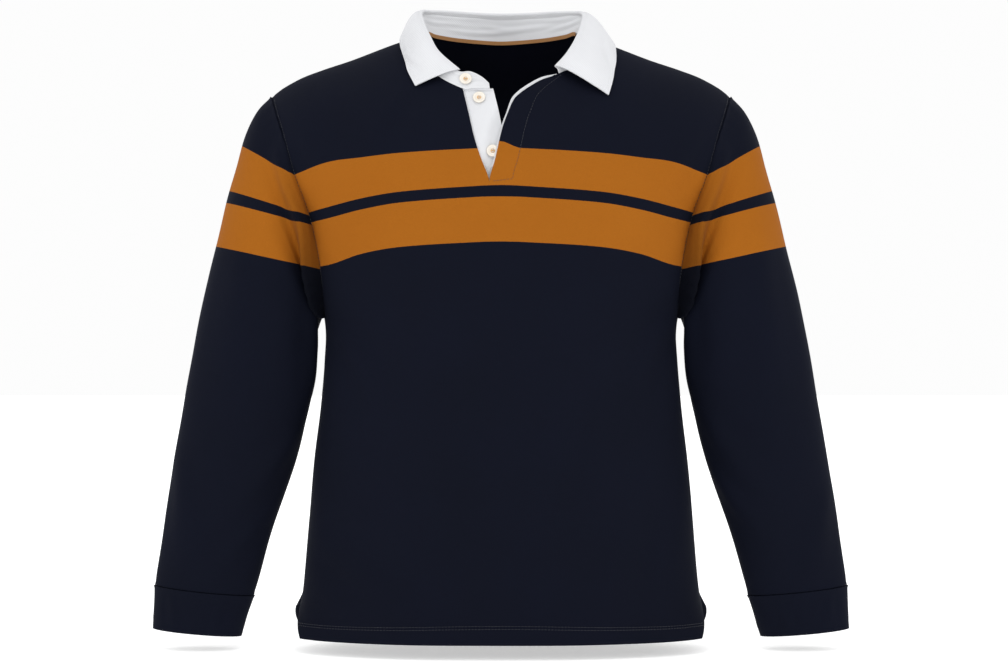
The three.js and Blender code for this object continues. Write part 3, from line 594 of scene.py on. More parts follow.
def make_panel(face, slit):
    if face < 0:
        necks = (NECK_BUTTON_SIDE, NECK_FLY_SIDE)
        middles = (button_edge, fly_edge)
    else:
        necks = ({**NECK_BACK, "x": [-x for x in NECK_BACK["x"]]}, NECK_BACK)
        middles = (lambda z: 0 * z, lambda z: 0 * z)
    s = Surface()
    halves = [half_panel(face, (-1, 1)[i], necks[i], middles[i], slit) for i in (0, 1)]
    s.add(halves[0], flip=face < 0)
    s.add(halves[1], flip=face > 0, shared=(0, (SLIT_INDEX if slit else TOP_INDEX) + 1))
    p = s.points
    u = np.tile(np.linspace(0, 1, HALF_STEPS + 1), len(p) // (HALF_STEPS + 1))
    row = np.tile(np.repeat(np.arange(TOP_INDEX + 1), HALF_STEPS + 1), 2)
    fade = smooth((1 - u) / 0.09) * smooth((TOP_INDEX - row) / 12)
    seam = np.exp(-(((1 - u) / 0.02) ** 2)) * (row > LOWER_STEPS[0])
    folds = FOLDS_FRONT if face < 0 else FOLDS_BACK
    height = fade * (fold_height(p[:, 0], p[:, 2], folds) + 0.8 * ripple(p, 90, 3 + face))
    height -= 0.7 * seam * (1 + 0.4 * np.sin(p[:, 2] / 2.3))
    # The hem is turned up twice, so it stands out a little and waves.
    hem = HEM_Z if face < 0 else BACK_HEM_Z
    up = p[:, 2] - hem
    height += 0.5 * smooth((24 - up) / 3)
    height += 0.5 * smooth((60 - up) / 60) * np.sin(p[:, 0] / 27 + face)
    p += s.normals() * height[:, None]
    for ids in s.grids:
        grid = p[ids].copy()
        pull(grid, (slice(None), -1), (slice(None), -2), SEAM)
        pull(grid, (-1, slice(NECK_INDEX, None)), (-2, slice(NECK_INDEX, None)), SEAM)
        p[ids] = grid
    rows = BANDS_FRONT if face < 0 else BANDS_BACK
    lines = [column(rows["x"], rows[k]) for k in ("top1", "low1", "top2", "low2")]
    z = p[:, 2].copy()
    if slit:
        # On the fly the bands sit a little lower than on the cloth beside it.
        past = p[:, 0] - fly_edge(z)
        z -= 8 * smooth(1 - past / 28) * (past > -1) * (z > SLIT_Z) * smooth((z - SLIT_Z) / 14)
    s.band = band_value(lines, p[:, 0], z)
    s.shade = np.zeros(len(p))
    s.thick = JERSEY + 1.0 * smooth((22 - up) / 2)
    return s


front = make_panel(-1, True)
back = make_panel(1, False)

# ---- Sleeves and cuffs ------------------------------------------------------

AROUND = 2 * UPPER_STEPS
turn = np.pi * (1 - np.arange(AROUND) / UPPER_STEPS)
degrees_round = np.arange(AROUND) / UPPER_STEPS * 180


def ring_of(row):
    share = (1 + np.cos(turn)) / 2
    bulge = np.sin(turn)
    below = np.clip(-np.cos(turn) + 0.35, 0, 1)
    dent = np.where(bulge > 0, 1 - row["fold"] * smooth(below / 0.9), 1)
    deep = np.where(bulge > 0, row["front"], row["back"])
    x = mix(row["inX"], row["outX"], share)
    return xyz(x, -deep * bulge * dent, mix(row["inZ"], row["outZ"], share))


def rings_of(rows):
    count = len(rows["outX"])
    return [ring_of({k: v[i] for k, v in rows.items()}) for i in range(count)]


def armhole_ring():
    side = front.points[front.grids[1][ARM_INDEX:, -1]]
    rear = back.points[back.grids[1][ARM_INDEX:, -1]]
    ring = np.concatenate([side, rear[-2:0:-1]])
    ring[0, 1] = 0
    return ring


def lofted(rings, steps, closer=1.0):
    rings = np.array(rings)
    middles = rings.mean(axis=1)
    down = lengths(middles)
    at = down[-1] * np.linspace(0, 1, steps) ** closer
    return column(down, rings)(at), at


def sleeve_band_edge(i):
    """The height of a band's edge on the sleeve, by distance from the middle."""
    in_x, in_z = BANDS_SLEEVE["inX"][i], BANDS_SLEEVE["inZ"][i]
    slope = (BANDS_SLEEVE["outZ"][i] - in_z) / (BANDS_SLEEVE["outX"][i] - in_x)
    return lambda x: in_z + slope * (np.abs(x) - in_x)


def armhole_valley(a, round_, room):
    """The fold where the sleeve turns in beside the armhole, deepest low down: its depth, and
    the painted shade that darkens the cloth's colour in it."""
    depth, shade = np.zeros(len(a)), np.zeros(len(a))
    for under, deep in ((round_, 24.0), (360 - round_, 18.0)):
        share = np.clip((under - 2) / 124, 0, 1)
        low_down = under < 126
        middle, wide = 3 + 6 * share, 3.4 + 4.4 * share
        strength = np.minimum(deep * np.sin(np.pi * share**0.75), room) * low_down
        depth += strength * np.exp(-(((a - middle) / wide) ** 2)) * smooth(a / 1.8)
        reach = 7 + 13 * share
        dim = smooth((reach + 9 - a) / (reach + 4)) * np.sin(np.pi * share**0.6) ** 1.2
        shade = np.maximum(shade, dim * low_down)
    return depth, shade


def make_tube(rings, steps, folds, seed, flip_x, hem=0):
    """A sleeve, or a cuff where hem gives the width of its turned-up edge."""
    grid, down = lofted(rings, steps, 1.0 if hem else 1.6)
    s = Surface().add(grid, flip=False, closed=True)
    p = s.points
    a = np.repeat(down, AROUND)
    round_ = np.tile(degrees_round, steps)
    fade = smooth(a / 16) * smooth((down[-1] - a) / 14)
    height = fade * 0.9 * ripple(p, 80, seed)
    for turned in (-360, 0, 360):
        height += fade * fold_height(a, round_ + turned, folds)
    height -= 0.7 * np.exp(-((a / 2.5) ** 2)) * (1 + 0.4 * np.sin(round_ / 1.3))
    s.shade = np.zeros(len(p))
    if hem:
        height += 0.3 * smooth((a - down[-1] + hem) / 3) * (a > 0)
    else:
        # Besides cutting the valley, this gives the painted shade that darkens the colour in
        # it.
        depth, s.shade = armhole_valley(a, round_, 0.7 * np.abs(p[:, 1]))
        height -= depth
        height -= 0.6 * np.exp(-(((down[-1] - a) / 2.5) ** 2))
    p += s.normals() * height[:, None]
    ids = s.grids[0]
    grid = p[ids].copy()
    pull(grid, (0, slice(None)), (1, slice(None)), 2 * SEAM)
    if not hem:
        pull(grid, (-1, slice(None)), (-2, slice(None)), SEAM)
    p[ids] = grid
    bands = band_value([sleeve_band_edge(i) for i in range(4)], p[:, 0], p[:, 2])
    s.band = np.where(p[:, 2] > -330, bands, BELOW_BANDS)
    s.thick = np.full(len(p), JERSEY + (1.0 if hem else 0))
    if flip_x:
        s.points = p * (-1, 1, 1)
        s.quads = s.quads[:, ::-1]
    return s


sleeve_rings = [armhole_ring()] + rings_of(SLEEVE)
cuff_rings = rings_of(CUFF)
FOLDS_CUFF = [(0.9, 6, [(4, 60), (30, 66), (56, 62)]), (0.8, 6, [(2, 128), (50, 120)])]
sleeve_left = make_tube(sleeve_rings, SLEEVE_STEPS, FOLDS_LEFT, 11, False)
sleeve_right = make_tube(sleeve_rings, SLEEVE_STEPS, FOLDS_RIGHT, 12, True)
cuff_left = make_tube(cuff_rings, CUFF_STEPS, FOLDS_CUFF, 13, False, hem=12)
cuff_right = make_tube(cuff_rings, CUFF_STEPS, FOLDS_CUFF, 14, True, hem=12)

# ---- Collar -----------------------------------------------------------------

NECK_ENDS = {
    "button side": (front, 0), "fly side": (front, 1),
    "back right": (back, 0), "back left": (back, 1),
}
front_normals, back_normals = front.normals(), back.normals()


def stand_foot(i):
    """Where the stand meets the neckline, just proud of the cloth it sits on."""
    if STAND["on"][i] == "strip":
        return body_point(-1, STAND["x"][i], STAND["z"][i], STAND_PROUD)
    panel, half = NECK_ENDS[STAND["on"][i]]
    at = panel.grids[half][TOP_INDEX, STAND["c"][i] * NECK_INDEX // 4]
    normal = (front_normals if panel is front else back_normals)[at]
    return panel.points[at] + normal * STAND_PROUD


posts = np.arange(len(STAND["on"]))
feet = np.array([stand_foot(i) for i in posts])
tops = xyz(np.array(STAND["topX"]), np.array(STAND["topY"]), np.array(STAND["topZ"]))
foot_at = column(posts, feet)
top_at = column(posts, tops)

# Folds of the stand: the line is the row of its table and the height above the
# neckline.
FOLDS_STAND = [
    (1.3, 2.6, [(0.4, 24), (1.6, 20), (2.6, 8)]),
    (1.0, 2.2, [(1.2, 31), (2.4, 26), (3.6, 22)]),
    (1.1, 2.4, [(6.8, 24), (8.2, 20), (9.8, 23)]),
    (1.4, 2.2, [(8.4, 14), (9.8, 11), (11.0, 14), (12.0, 13)]),
    (1.2, 2.4, [(10.2, 21), (11.6, 17), (13.2, 20)]),
    (1.0, 2.0, [(7.6, 30), (9.0, 28), (10.6, 31)]),
    (1.3, 2.6, [(12.8, 12), (13.8, 16), (15.0, 24)]),
    (1.0, 2.2, [(11.8, 28), (13.2, 26), (14.4, 29)]),
    (1.2, 2.4, [(14.6, 9), (15.8, 14), (17.0, 12)]),
]
# Folds of the leaf: the line is the distance along it and down from its roll.
FOLDS_LEAF = [
    (0.9, 8, [(20, 40), (60, 60), (96, 64)]),
    (0.8, 7, [(420, 30), (450, 46), (476, 70)]),
    (0.7, 9, [(200, 20), (250, 34), (310, 26)]),
]


def make_stand():
    at = np.linspace(0, posts[-1], STAND_STEPS)
    share = np.linspace(0, 1, STAND_ROWS)[:, None, None]
    s = Surface().add(mix(foot_at(at), top_at(at), share), flip=True)
    folds = [
        (depth, wide, [(post * STAND_PITCH, up) for post, up in line])
        for depth, wide, line in FOLDS_STAND
    ]
    along = np.tile(at * STAND_PITCH, STAND_ROWS)
    up = np.repeat(np.linspace(0, STAND_HEIGHT, STAND_ROWS), STAND_STEPS)
    s.points += s.normals() * fold_height(along, up, folds)[:, None] * 0.8
    s.thick = np.full(len(s.points), TWILL)
    return s


def leaf_edge(i):
    x, z, lift = (LEAF_EDGE[k][i] for k in ("x", "z", "lift"))
    low = float(ridge["z"](abs(x)))
    if LEAF_EDGE["face"][i] == 0:
        return np.array([x, float(ridge["y"](abs(x))), low + lift])
    return body_point(LEAF_EDGE["face"][i], x, min(z, low - 0.5), lift)


def clear_body(p, least):
    """Moves points out until they clear the panels."""
    low = ridge["z"](np.abs(p[..., 0]))
    face = np.where(p[..., 1] < ridge["y"](np.abs(p[..., 0])), -1, 1)
    out = p.copy()
    for side in (-1, 1):
        normal = body_normal(side, p[..., 0], p[..., 2])
        y = body_y(side, p[..., 0], p[..., 2])
        gap = (p[..., 1] - y) * side * np.abs(normal[..., 1])
        move = np.where((face == side) & (p[..., 2] < low - 1), np.maximum(least - gap, 0), 0)
        out += normal * move[..., None]
    return out


def make_leaf():
    """The turned-down leaf: up inside the stand, over in a roll, and down."""
    at_edge = np.arange(len(LEAF_EDGE["x"]))
    at = np.linspace(0, at_edge[-1], LEAF_STEPS)
    top = column(at_edge, tops[LEAF_START:LEAF_START + len(at_edge)])(at)
    down = column(at_edge, [leaf_edge(i) for i in at_edge])(at) - top
    out_way = -unit(np.cross(down, unit(np.gradient(top, axis=0))))
    up_way = -unit(down)
    rows = []
    for share in np.linspace(-0.25, 1, 12):
        angle = math.pi * (1 - max(share, 0))
        across = -0.55 + ROLL * math.cos(angle)
        rise = 1.2 + ROLL * math.sin(angle) + 6 * min(share, 0) / 0.25
        rows.append(top + out_way * across + up_way * rise)
    fallen = [0.0] * len(rows)
    for t in np.linspace(0, 1, 34)[1:]:
        bulge = 2.2 * (1 - t) + 5 * math.sin(math.pi * t**0.6)
        row = top + down * t + out_way * bulge + up_way * 1.2 * (1 - t) ** 6
        if t > 0.3:
            row = clear_body(row, mix(0.5, TWILL + 2, min(1, (t - 0.3) / 0.15)))
        rows.append(row)
        fallen.append(t * LEAF_FALL)
    s = Surface().add(np.array(rows), flip=False)
    fallen = np.repeat(fallen, LEAF_STEPS)
    along = np.tile(np.linspace(0, LEAF_LENGTH, LEAF_STEPS), len(rows))
    height = fold_height(along, fallen, FOLDS_LEAF)
    # The turned edge makes a low step just inside the leaf's outline.
    height -= 0.35 * np.exp(-(((fallen - LEAF_FALL + 2.5) / 1.2) ** 2)) * (fallen > 0)
    s.points += s.normals() * height[:, None]
    s.thick = np.full(len(s.points), TWILL)
    return s


stand = make_stand()
leaf = make_leaf()

# ---- Button strip, fly facing and neck tape ---------------------------------

OPEN_ROWS = np.arange(SLIT_INDEX, TOP_INDEX + 1)
FACING_ROWS = OPEN_ROWS[4:-9]  # above these the fly's edge runs straight to the stand
FACING_THICK = 0.9
TAPE_THICK = 0.8
TAPE_POSTS = (7, 15)  # rows of STAND between which the tape runs


def strip_point(x, z):
    under = smooth((x - fly_edge(z) + 20) / 14)
    return body_point(-1, x, z, -(JERSEY + CLEAR + under * STRIP_UNDER))


def make_strip():
    rim = front.points[front.grids[0][OPEN_ROWS, 0]]
    u = np.linspace(-STRIP_TUCK / STRIP_WIDTH, 1, 26)[None, :]
    z = rim[:, 2:3] + 0 * u
    z[-1] -= 2
    shown = strip_point(rim[:, 0:1] + u * STRIP_WIDTH, z)
    foot_z = np.linspace(STRIP_END_Z, SLIT_Z, 7)[:-1, None] + 0 * u
    foot_x = button_edge(np.full(foot_z.shape, SLIT_Z)) + u * STRIP_WIDTH
    foot = body_point(-1, foot_x, foot_z, -(JERSEY + STRIP_UNDER + CLEAR))
    s = Surface().add(np.concatenate([foot, shown]), flip=False)
    s.thick = np.full(len(s.points), TWILL)
    return s


def make_facing():
    """The facing behind the fly, which shows as a narrow edge beside it."""
    rim = front.points[front.grids[1][FACING_ROWS, 0]]
    inside = front.points[front.grids[1][FACING_ROWS[0], 3]]
    rim = np.concatenate([rim, [feet[-1] + (-1.5, -0.6, -1.0)]])
    far = lengths(rim)
    rim = column(far, rim)(np.linspace(0, far[-1], 90))
    normal = body_normal(-1, rim[:, 0], rim[:, 2])
    way = unit(np.cross(np.gradient(rim, axis=0), normal))
    way *= np.sign(way[0] @ (inside - rim[0]))
    shows = mix(2.0, 4.6, smooth((rim[:, 2] + 96) / 34))[:, None]
    across = np.array([[-1, -0.75, -0.4, 0, 0, 0, 0]]) * shows
    across = across + np.array([[0, 0, 0, 0, 2, 5, 9]])
    grid = rim[:, None] + way[:, None] * across[..., None] - normal[:, None] * (JERSEY + 0.7)
    s = Surface().add(grid, flip=False)
    s.thick = np.full(len(s.points), FACING_THICK)
    return s


def make_tape():
    at = np.linspace(*TAPE_POSTS, 120)
    low = foot_at(at)
    inward = unit(xyz(0 * at, 10 + 0 * at, low[:, 2]) - low)
    low = low + inward * (TWILL + 1.6)
    rows = [low + np.array([0, 0, up - 2.6]) for up in np.linspace(0, 4.6, 6)]
    s = Surface().add(np.array(rows), flip=True)
    s.thick = np.full(len(s.points), TAPE_THICK)
    return s


strip = make_strip()
facing = make_facing()
tape = make_tape()

# ---- Materials --------------------------------------------------------------


def rgb(text):
    """An sRGB hex colour as linear values."""
    parts = [int(text[i:i + 2], 16) / 255 for i in (1, 3, 5)]
    linear = [c / 12.92 if c <= 0.04045 else ((c + 0.055) / 1.055) ** 2.4 for c in parts]
    return (*linear, 1)


def spots(size):
    """The scale of a cloudy pattern with spots this many millimetres across."""
    return 1000 / size


def ribs(apart):
    """The scale of bands that lie this many millimetres apart."""
    return 100 * math.pi / apart


class Recipe:
    """The nodes of one material."""

    def __init__(self, name):
        self.material = bpy.data.materials.new(name)
        self.material.use_nodes = True
        self.tree = self.material.node_tree
        self.tree.nodes.clear()
        self.place = self.add("TexCoord", out="Object")

    def add(self, kind, settings=None, out=0, **inputs):
        """Adds a node with its settings, fills or links its inputs, which go by
        name or, as i0 and i1, by number, and gives one of its outputs."""
        node = self.tree.nodes.new("ShaderNode" + kind)
        for key, value in (settings or {}).items():
            setattr(node, key, value)
        for key, value in inputs.items():
            numbered = key[0] == "i" and key[1:].isdigit()
            socket = node.inputs[int(key[1:]) if numbered else key.replace("_", " ")]
            if isinstance(value, bpy.types.NodeSocket):
                self.tree.links.new(value, socket)
            else:
                socket.default_value = value
        return node.outputs[out] if node.outputs else None


ADD = {"operation": "ADD"}
MULTIPLY = {"operation": "MULTIPLY"}
MULTIPLY_ADD = {"operation": "MULTIPLY_ADD"}
COMPARE = {"operation": "COMPARE"}
COLOURS = {"data_type": "RGBA"}
BANDS_X = {"wave_type": "BANDS", "bands_direction": "X"}
BANDS_Z = {"wave_type": "BANDS", "bands_direction": "Z"}


def jersey_material():
    """Heavy cotton jersey, knitted in navy with mustard bands. The yarn is matt
    and flecked, and the knit gives it fine ribs and a soft, uneven surface."""
    n = Recipe("navy_jersey")
    dye = n.add("TexNoise", Vector=n.place, Scale=spots(111.1), Detail=3)
    fibres = n.add("TexNoise", Vector=n.place, Scale=spots(0.667), Detail=2)
    stitch = n.add("TexNoise", Vector=n.place, Scale=spots(1.111), Detail=3)
    # A band's edge wavers by half a millimetre, from stitch to stitch.
    band = n.add("Attribute", {"attribute_name": "band"}, out="Fac")
    band = n.add("Math", MULTIPLY_ADD, i0=stitch, i1=0.5, i2=band)
    top_1, low_1, top_2, low_2 = BAND_LEVELS
    one = n.add("Math", COMPARE, i0=band, i1=(top_1 + low_1) / 2 + 0.25, i2=(low_1 - top_1) / 2)
    two = n.add("Math", COMPARE, i0=band, i1=(top_2 + low_2) / 2 + 0.25, i2=(low_2 - top_2) / 2)
    mustard = n.add("Math", ADD, i0=one, i1=two)
    navy = n.add("Mix", COLOURS, 2, i0=dye, i6=rgb("#0a0d18"), i7=rgb("#0e111e"))
    gold = n.add("Mix", COLOURS, 2, i0=dye, i6=rgb("#945513"), i7=rgb("#9d5d19"))
    colour = n.add("Mix", COLOURS, 2, i0=mustard, i6=navy, i7=gold)
    # Painted shade: the colour is darkened deep in the fold beside the armhole, where the
    # fold's shadow falls.
    shade = n.add("Attribute", {"attribute_name": "shade"}, out="Fac")
    open_to_light = n.add("Math", MULTIPLY_ADD, i0=shade, i1=-0.55, i2=1.0)
    fleck = n.add("Math", MULTIPLY_ADD, i0=fibres, i1=0.5, i2=0.75)
    value = n.add("Math", MULTIPLY, i0=fleck, i1=open_to_light)
    colour = n.add("HueSaturation", Color=colour, Value=value)
    # Ribs of the knit 1.1 mm apart, and its rows, drawn at 1.4 mm so as to show.
    wales = n.add("TexWave", BANDS_X, 1, Vector=n.place, Scale=ribs(1.0833), Distortion=0.4)
    courses = n.add("TexWave", BANDS_Z, 1, Vector=n.place, Scale=ribs(1.3659), Distortion=0.4)
    knit = n.add("Math", MULTIPLY_ADD, i0=courses, i1=0.6, i2=wales)
    normal = n.add("Bump", Height=knit, Distance=0.00022, Strength=0.5)
    pucker = n.add("TexNoise", Vector=n.place, Scale=spots(16.67), Detail=3)
    normal = n.add("Bump", Height=pucker, Distance=0.0005, Strength=0.35, Normal=normal)
    rough = n.add("Math", MULTIPLY_ADD, i0=dye, i1=0.12, i2=0.78)
    n.add("OutputMaterial", Surface=n.add(
        "BsdfPrincipled", Base_Color=colour, Roughness=rough, Normal=normal, Sheen_Weight=0.03,
        Sheen_Roughness=0.4, Sheen_Tint=rgb("#a4acc6"), Specular_IOR_Level=0.06,
    ))
    return n.material


def twill_material(name, dark, light, apart):
    """Cotton twill, woven with a diagonal line: crisp, nearly matt, with a faint
    bloom of fibres. Real lines lie about 0.7 mm apart, and these are drawn
    wider, so that they show."""
    n = Recipe(name)
    dye = n.add("TexNoise", Vector=n.place, Scale=spots(45.45), Detail=3)
    colour = n.add("Mix", COLOURS, 2, i0=dye, i6=rgb(dark), i7=rgb(light))
    turned = n.add("Mapping", Vector=n.place, Rotation=(0, 0.75, 0))
    weave = n.add("TexWave", BANDS_X, 1, Vector=turned, Scale=ribs(apart), Distortion=0.4)
    value = n.add("Math", MULTIPLY_ADD, i0=weave, i1=0.035, i2=0.97)
    colour = n.add("HueSaturation", Color=colour, Value=value)
    pucker = n.add("TexNoise", Vector=n.place, Scale=spots(14.29), Detail=2)
    normal = n.add("Bump", Height=weave, Distance=0.0002, Strength=0.6)
    normal = n.add("Bump", Height=pucker, Distance=0.0012, Strength=0.3, Normal=normal)
    n.add("OutputMaterial", Surface=n.add(
        "BsdfPrincipled", Base_Color=colour, Roughness=0.82, Normal=normal, Sheen_Weight=0.12,
        Specular_IOR_Level=0.3,
    ))
    return n.material


def thread_material(name, dark, light):
    """Spun sewing thread with a twist of 0.45 mm: the twist is a bump, and its lines are also
    painted lighter in the colour as painted highlights.
    """
    n = Recipe(name)
    turned = n.add("Mapping", Vector=n.place, Rotation=(0.5, 0.6, 0.3))
    twist_and_highlight = n.add("TexWave", BANDS_X, 1, Vector=turned, Scale=ribs(0.4488), Distortion=0.4)
    # Painted highlight: the colour goes from dark to light along the twist lines.
    colour = n.add("Mix", COLOURS, 2, i0=twist_and_highlight, i6=rgb(dark), i7=rgb(light))
    normal = n.add("Bump", Height=twist_and_highlight, Distance=0.0001, Strength=0.5)
    n.add("OutputMaterial", Surface=n.add(
        "BsdfPrincipled", Base_Color=colour, Roughness=0.6, Normal=normal, Sheen_Weight=0.2,
    ))
    return n.material


def button_material():
    """Polyester resin, cast cloudy like shell and tumbled to a gloss."""
    n = Recipe("shell_button")
    cloud = n.add("TexNoise", Vector=n.place, Scale=spots(6.25), Detail=4)
    colour = n.add("Mix", COLOURS, 2, i0=cloud, i6=rgb("#e8e3da"), i7=rgb("#d8cfc0"))
    polish = n.add("TexNoise", Vector=n.place, Scale=spots(2.381), Detail=3)
    normal = n.add("Bump", Height=polish, Distance=0.0001, Strength=0.25)
    n.add("OutputMaterial", Surface=n.add(
        "BsdfPrincipled", Base_Color=colour, Roughness=0.28, Normal=normal, Coat_Weight=0.5,
        Coat_Roughness=0.15, Specular_IOR_Level=0.5,
    ))
    return n.material


def button_centre_material():
    """The same resin in the button's hollow, tinted tan and less polished."""
    n = Recipe("button_centre")
    cloud = n.add("TexNoise", Vector=n.place, Scale=spots(3.333), Detail=3)
    colour = n.add("Mix", COLOURS, 2, i0=cloud, i6=rgb("#cfa878"), i7=rgb("#c09664"))
    marks = n.add("TexNoise", Vector=n.place, Scale=spots(1.4286), Detail=3)
    normal = n.add("Bump", Height=marks, Distance=0.0001, Strength=0.2)
    n.add("OutputMaterial", Surface=n.add(
        "BsdfPrincipled", Base_Color=colour, Roughness=0.35, Normal=normal,
    ))
    return n.material


JERSEY_LOOK = jersey_material()
TWILL_LOOK = twill_material("white_twill", "#cfd0d3", "#dadbde", 2.0944)
STRIP_LOOK = twill_material("strip_twill", "#cdced1", "#d8d9dc", 1.848)
TAPE_LOOK = twill_material("tan_tape", "#93663a", "#a87a4c", 1.2083)
BUTTON_LOOK = button_material()
CENTRE_LOOK = button_centre_material()
DARK_THREAD = thread_material("navy_thread", "#0f111b", "#181a25")
WHITE_THREAD = thread_material("white_thread", "#d9dadd", "#f4f5f7")

# ---- Cloth pieces -----------------------------------------------------------


def cloth_piece(name, node, s, look):
    # band places the mustard bands; the other value is the painted shade beside the armholes.
    values = {"band": s.band, "shade": s.shade} if look is JERSEY_LOOK else None
    obj = shell_mesh(name, s, s.thick, values)
    obj.data.materials.append(look)
    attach(obj, "root")
    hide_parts(node)


cloth_piece("front_cloth", "front", front, JERSEY_LOOK)
cloth_piece("back_cloth", "back", back, JERSEY_LOOK)
cloth_piece("sleeve_left_cloth", "sleeve_left", sleeve_left, JERSEY_LOOK)
cloth_piece("sleeve_right_cloth", "sleeve_right", sleeve_right, JERSEY_LOOK)
cloth_piece("cuff_left_cloth", "cuff_left", cuff_left, JERSEY_LOOK)
cloth_piece("cuff_right_cloth", "cuff_right", cuff_right, JERSEY_LOOK)
cloth_piece("stand_cloth", "collar_stand", stand, TWILL_LOOK)
cloth_piece("leaf_cloth", "collar_leaf", leaf, TWILL_LOOK)
cloth_piece("strip_cloth", "button_strip", strip, STRIP_LOOK)
cloth_piece("facing_cloth", "fly_facing", facing, STRIP_LOOK)
cloth_piece("tape_cloth", "neck_tape", tape, TAPE_LOOK)

# ---- Stitches ---------------------------------------------------------------


def stitches(name, lines, look, length=3.0, gap=0.9, wide=0.55, lift=0.12):
    """Rows of stitches: each line is points on the cloth and their normals."""
    verts, faces = [], []
    for points, normals in lines:
        far = lengths(points)
        at, normal_at = column(far, points), column(far, normals)
        for start in np.arange(0.5, far[-1] - length, length + gap):
            steps = start + np.array([0, 0.18, 0.5, 0.82, 1]) * length
            middle = at(steps)
            normal = unit(normal_at(steps))
            side = unit(np.cross(normal, unit(np.gradient(middle, axis=0)))) * wide / 2
            tall = np.array([-0.25, 0.22, 0.34, 0.22, -0.25])[:, None]
            crown = middle + normal * (lift + tall)
            left = middle - side + normal * (lift - 0.3 + tall * 0.4)
            right = middle + side + normal * (lift - 0.3 + tall * 0.4)
            first = len(verts)
            verts += np.stack([left, crown, right], 1).reshape(-1, 3).tolist()
            for k in range(4):
                a = first + 3 * k
                faces += [(a, a + 3, a + 4, a + 1), (a + 1, a + 4, a + 5, a + 2)]
                faces.append((a + 2, a + 5, a + 3, a))
            faces += [(first, first + 1, first + 2), (first + 14, first + 13, first + 12)]
    mesh = bpy.data.meshes.new(name)
    mesh.from_pydata((np.array(verts) / 1000).tolist(), [], faces)
    mesh.polygons.foreach_set("use_smooth", [True] * len(mesh.polygons))
    mesh.materials.append(look)
    obj = placed(name, mesh)
    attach(obj, "root")


def across_rows(s, half, distance, start=0, stop=None, from_end=False):
    """A line at a distance in from a grid's first or last row."""
    ids = s.grids[half] if not from_end else s.grids[half][::-1]
    ids = ids[:, start:stop]
    p, n = s.points[ids], s.normals()[ids]
    far = np.cumsum(np.linalg.norm(np.diff(p, axis=0), axis=2), axis=0)
    out_p, out_n = [], []
    for c in range(p.shape[1]):
        r = int(np.clip(np.searchsorted(far[:, c], distance), 0, len(far) - 2))
        before = far[r - 1, c] if r else 0
        t = (distance - before) / (far[r, c] - before)
        out_p.append(mix(p[r, c], p[r + 1, c], t))
        out_n.append(n[r, c])
    return np.array(out_p), np.array(out_n)


def along_columns(s, half, distance, rows, from_end=False):
    """A line at a distance in from a grid's first or last column."""
    ids = s.grids[half][rows]
    if from_end:
        ids = ids[:, ::-1]
    p, n = s.points[ids], s.normals()[ids]
    far = np.cumsum(np.linalg.norm(np.diff(p, axis=1), axis=2), axis=1)
    out_p, out_n = [], []
    for r in range(p.shape[0]):
        c = int(np.clip(np.searchsorted(far[r], distance), 0, far.shape[1] - 2))
        before = far[r, c - 1] if c else 0
        t = (distance - before) / (far[r, c] - before)
        out_p.append(mix(p[r, c], p[r, c + 1], t))
        out_n.append(n[r, c])
    return np.array(out_p), np.array(out_n)


def ringed(line):
    """A line that goes on past its start, so that no stitch is missing."""
    return tuple(np.concatenate([part, part[:2]]) for part in line)


HEM_STITCHES = (19.5, 23.0)
EDGE_STITCH = 2.2  # distance of a row of stitches from the seam it holds
FLY_STITCH = 27.5
COLLAR_STITCH = 4.0

dark = []
arm_rows = slice(ARM_INDEX, TOP_INDEX - 2)
for panel in (front, back):
    for half in (0, 1):
        dark += [across_rows(panel, half, up) for up in HEM_STITCHES]
        if panel is front:
            dark.append(along_columns(panel, half, EDGE_STITCH, arm_rows, from_end=True))
for tube in (cuff_left, cuff_right):
    dark.append(ringed(across_rows(tube, 0, EDGE_STITCH)))
    dark.append(ringed(across_rows(tube, 0, 3.0, from_end=True)))
for tube in (sleeve_left, sleeve_right):
    dark.append(ringed(across_rows(tube, 0, EDGE_STITCH, from_end=True)))
stitches("jersey_stitches", dark, DARK_THREAD)

fly_line = along_columns(front, 1, FLY_STITCH, slice(SLIT_INDEX, TOP_INDEX - 4))
box_p, box_n = [], []
for far in (FLY_STITCH, 20, 13, 6, 0.6):
    p, n = along_columns(front, 1, far, slice(SLIT_INDEX - 2, SLIT_INDEX + 1))
    box_p.append(p[-1])
    box_n.append(n[-1])
fly_box = (np.array(box_p), np.array(box_n))
stitches("fly_stitches", [fly_line, fly_box], DARK_THREAD)

leaf_ends = slice(12, 44)
white = [
    across_rows(leaf, 0, COLLAR_STITCH, from_end=True, start=2, stop=-2),
    along_columns(leaf, 0, COLLAR_STITCH, leaf_ends),
    along_columns(leaf, 0, COLLAR_STITCH, leaf_ends, from_end=True),
    across_rows(stand, 0, 2.4, stop=60),
    along_columns(strip, 0, 7.5, slice(4, None)),
]
stitches("collar_stitches", white, WHITE_THREAD, length=2.4, gap=0.8, wide=0.45)

# ---- Buttons ----------------------------------------------------------------

# A button's outline from its hollow face round to its back, as the distance
# from its middle and the height above its back.
PROFILE = [
    (0.0, 1.05), (2.7, 1.05), (3.6, 1.25), (4.6, 1.75), (5.4, 2.35), (6.3, 2.5),
    (7.1, 2.1), (7.4, 1.5), (7.2, 0.8), (6.4, 0.2), (5.0, 0.0), (0.0, 0.0),
]

BUTTON_MIDDLE = 1.25  # height of the middle of its seat above its back
TURNS = 48


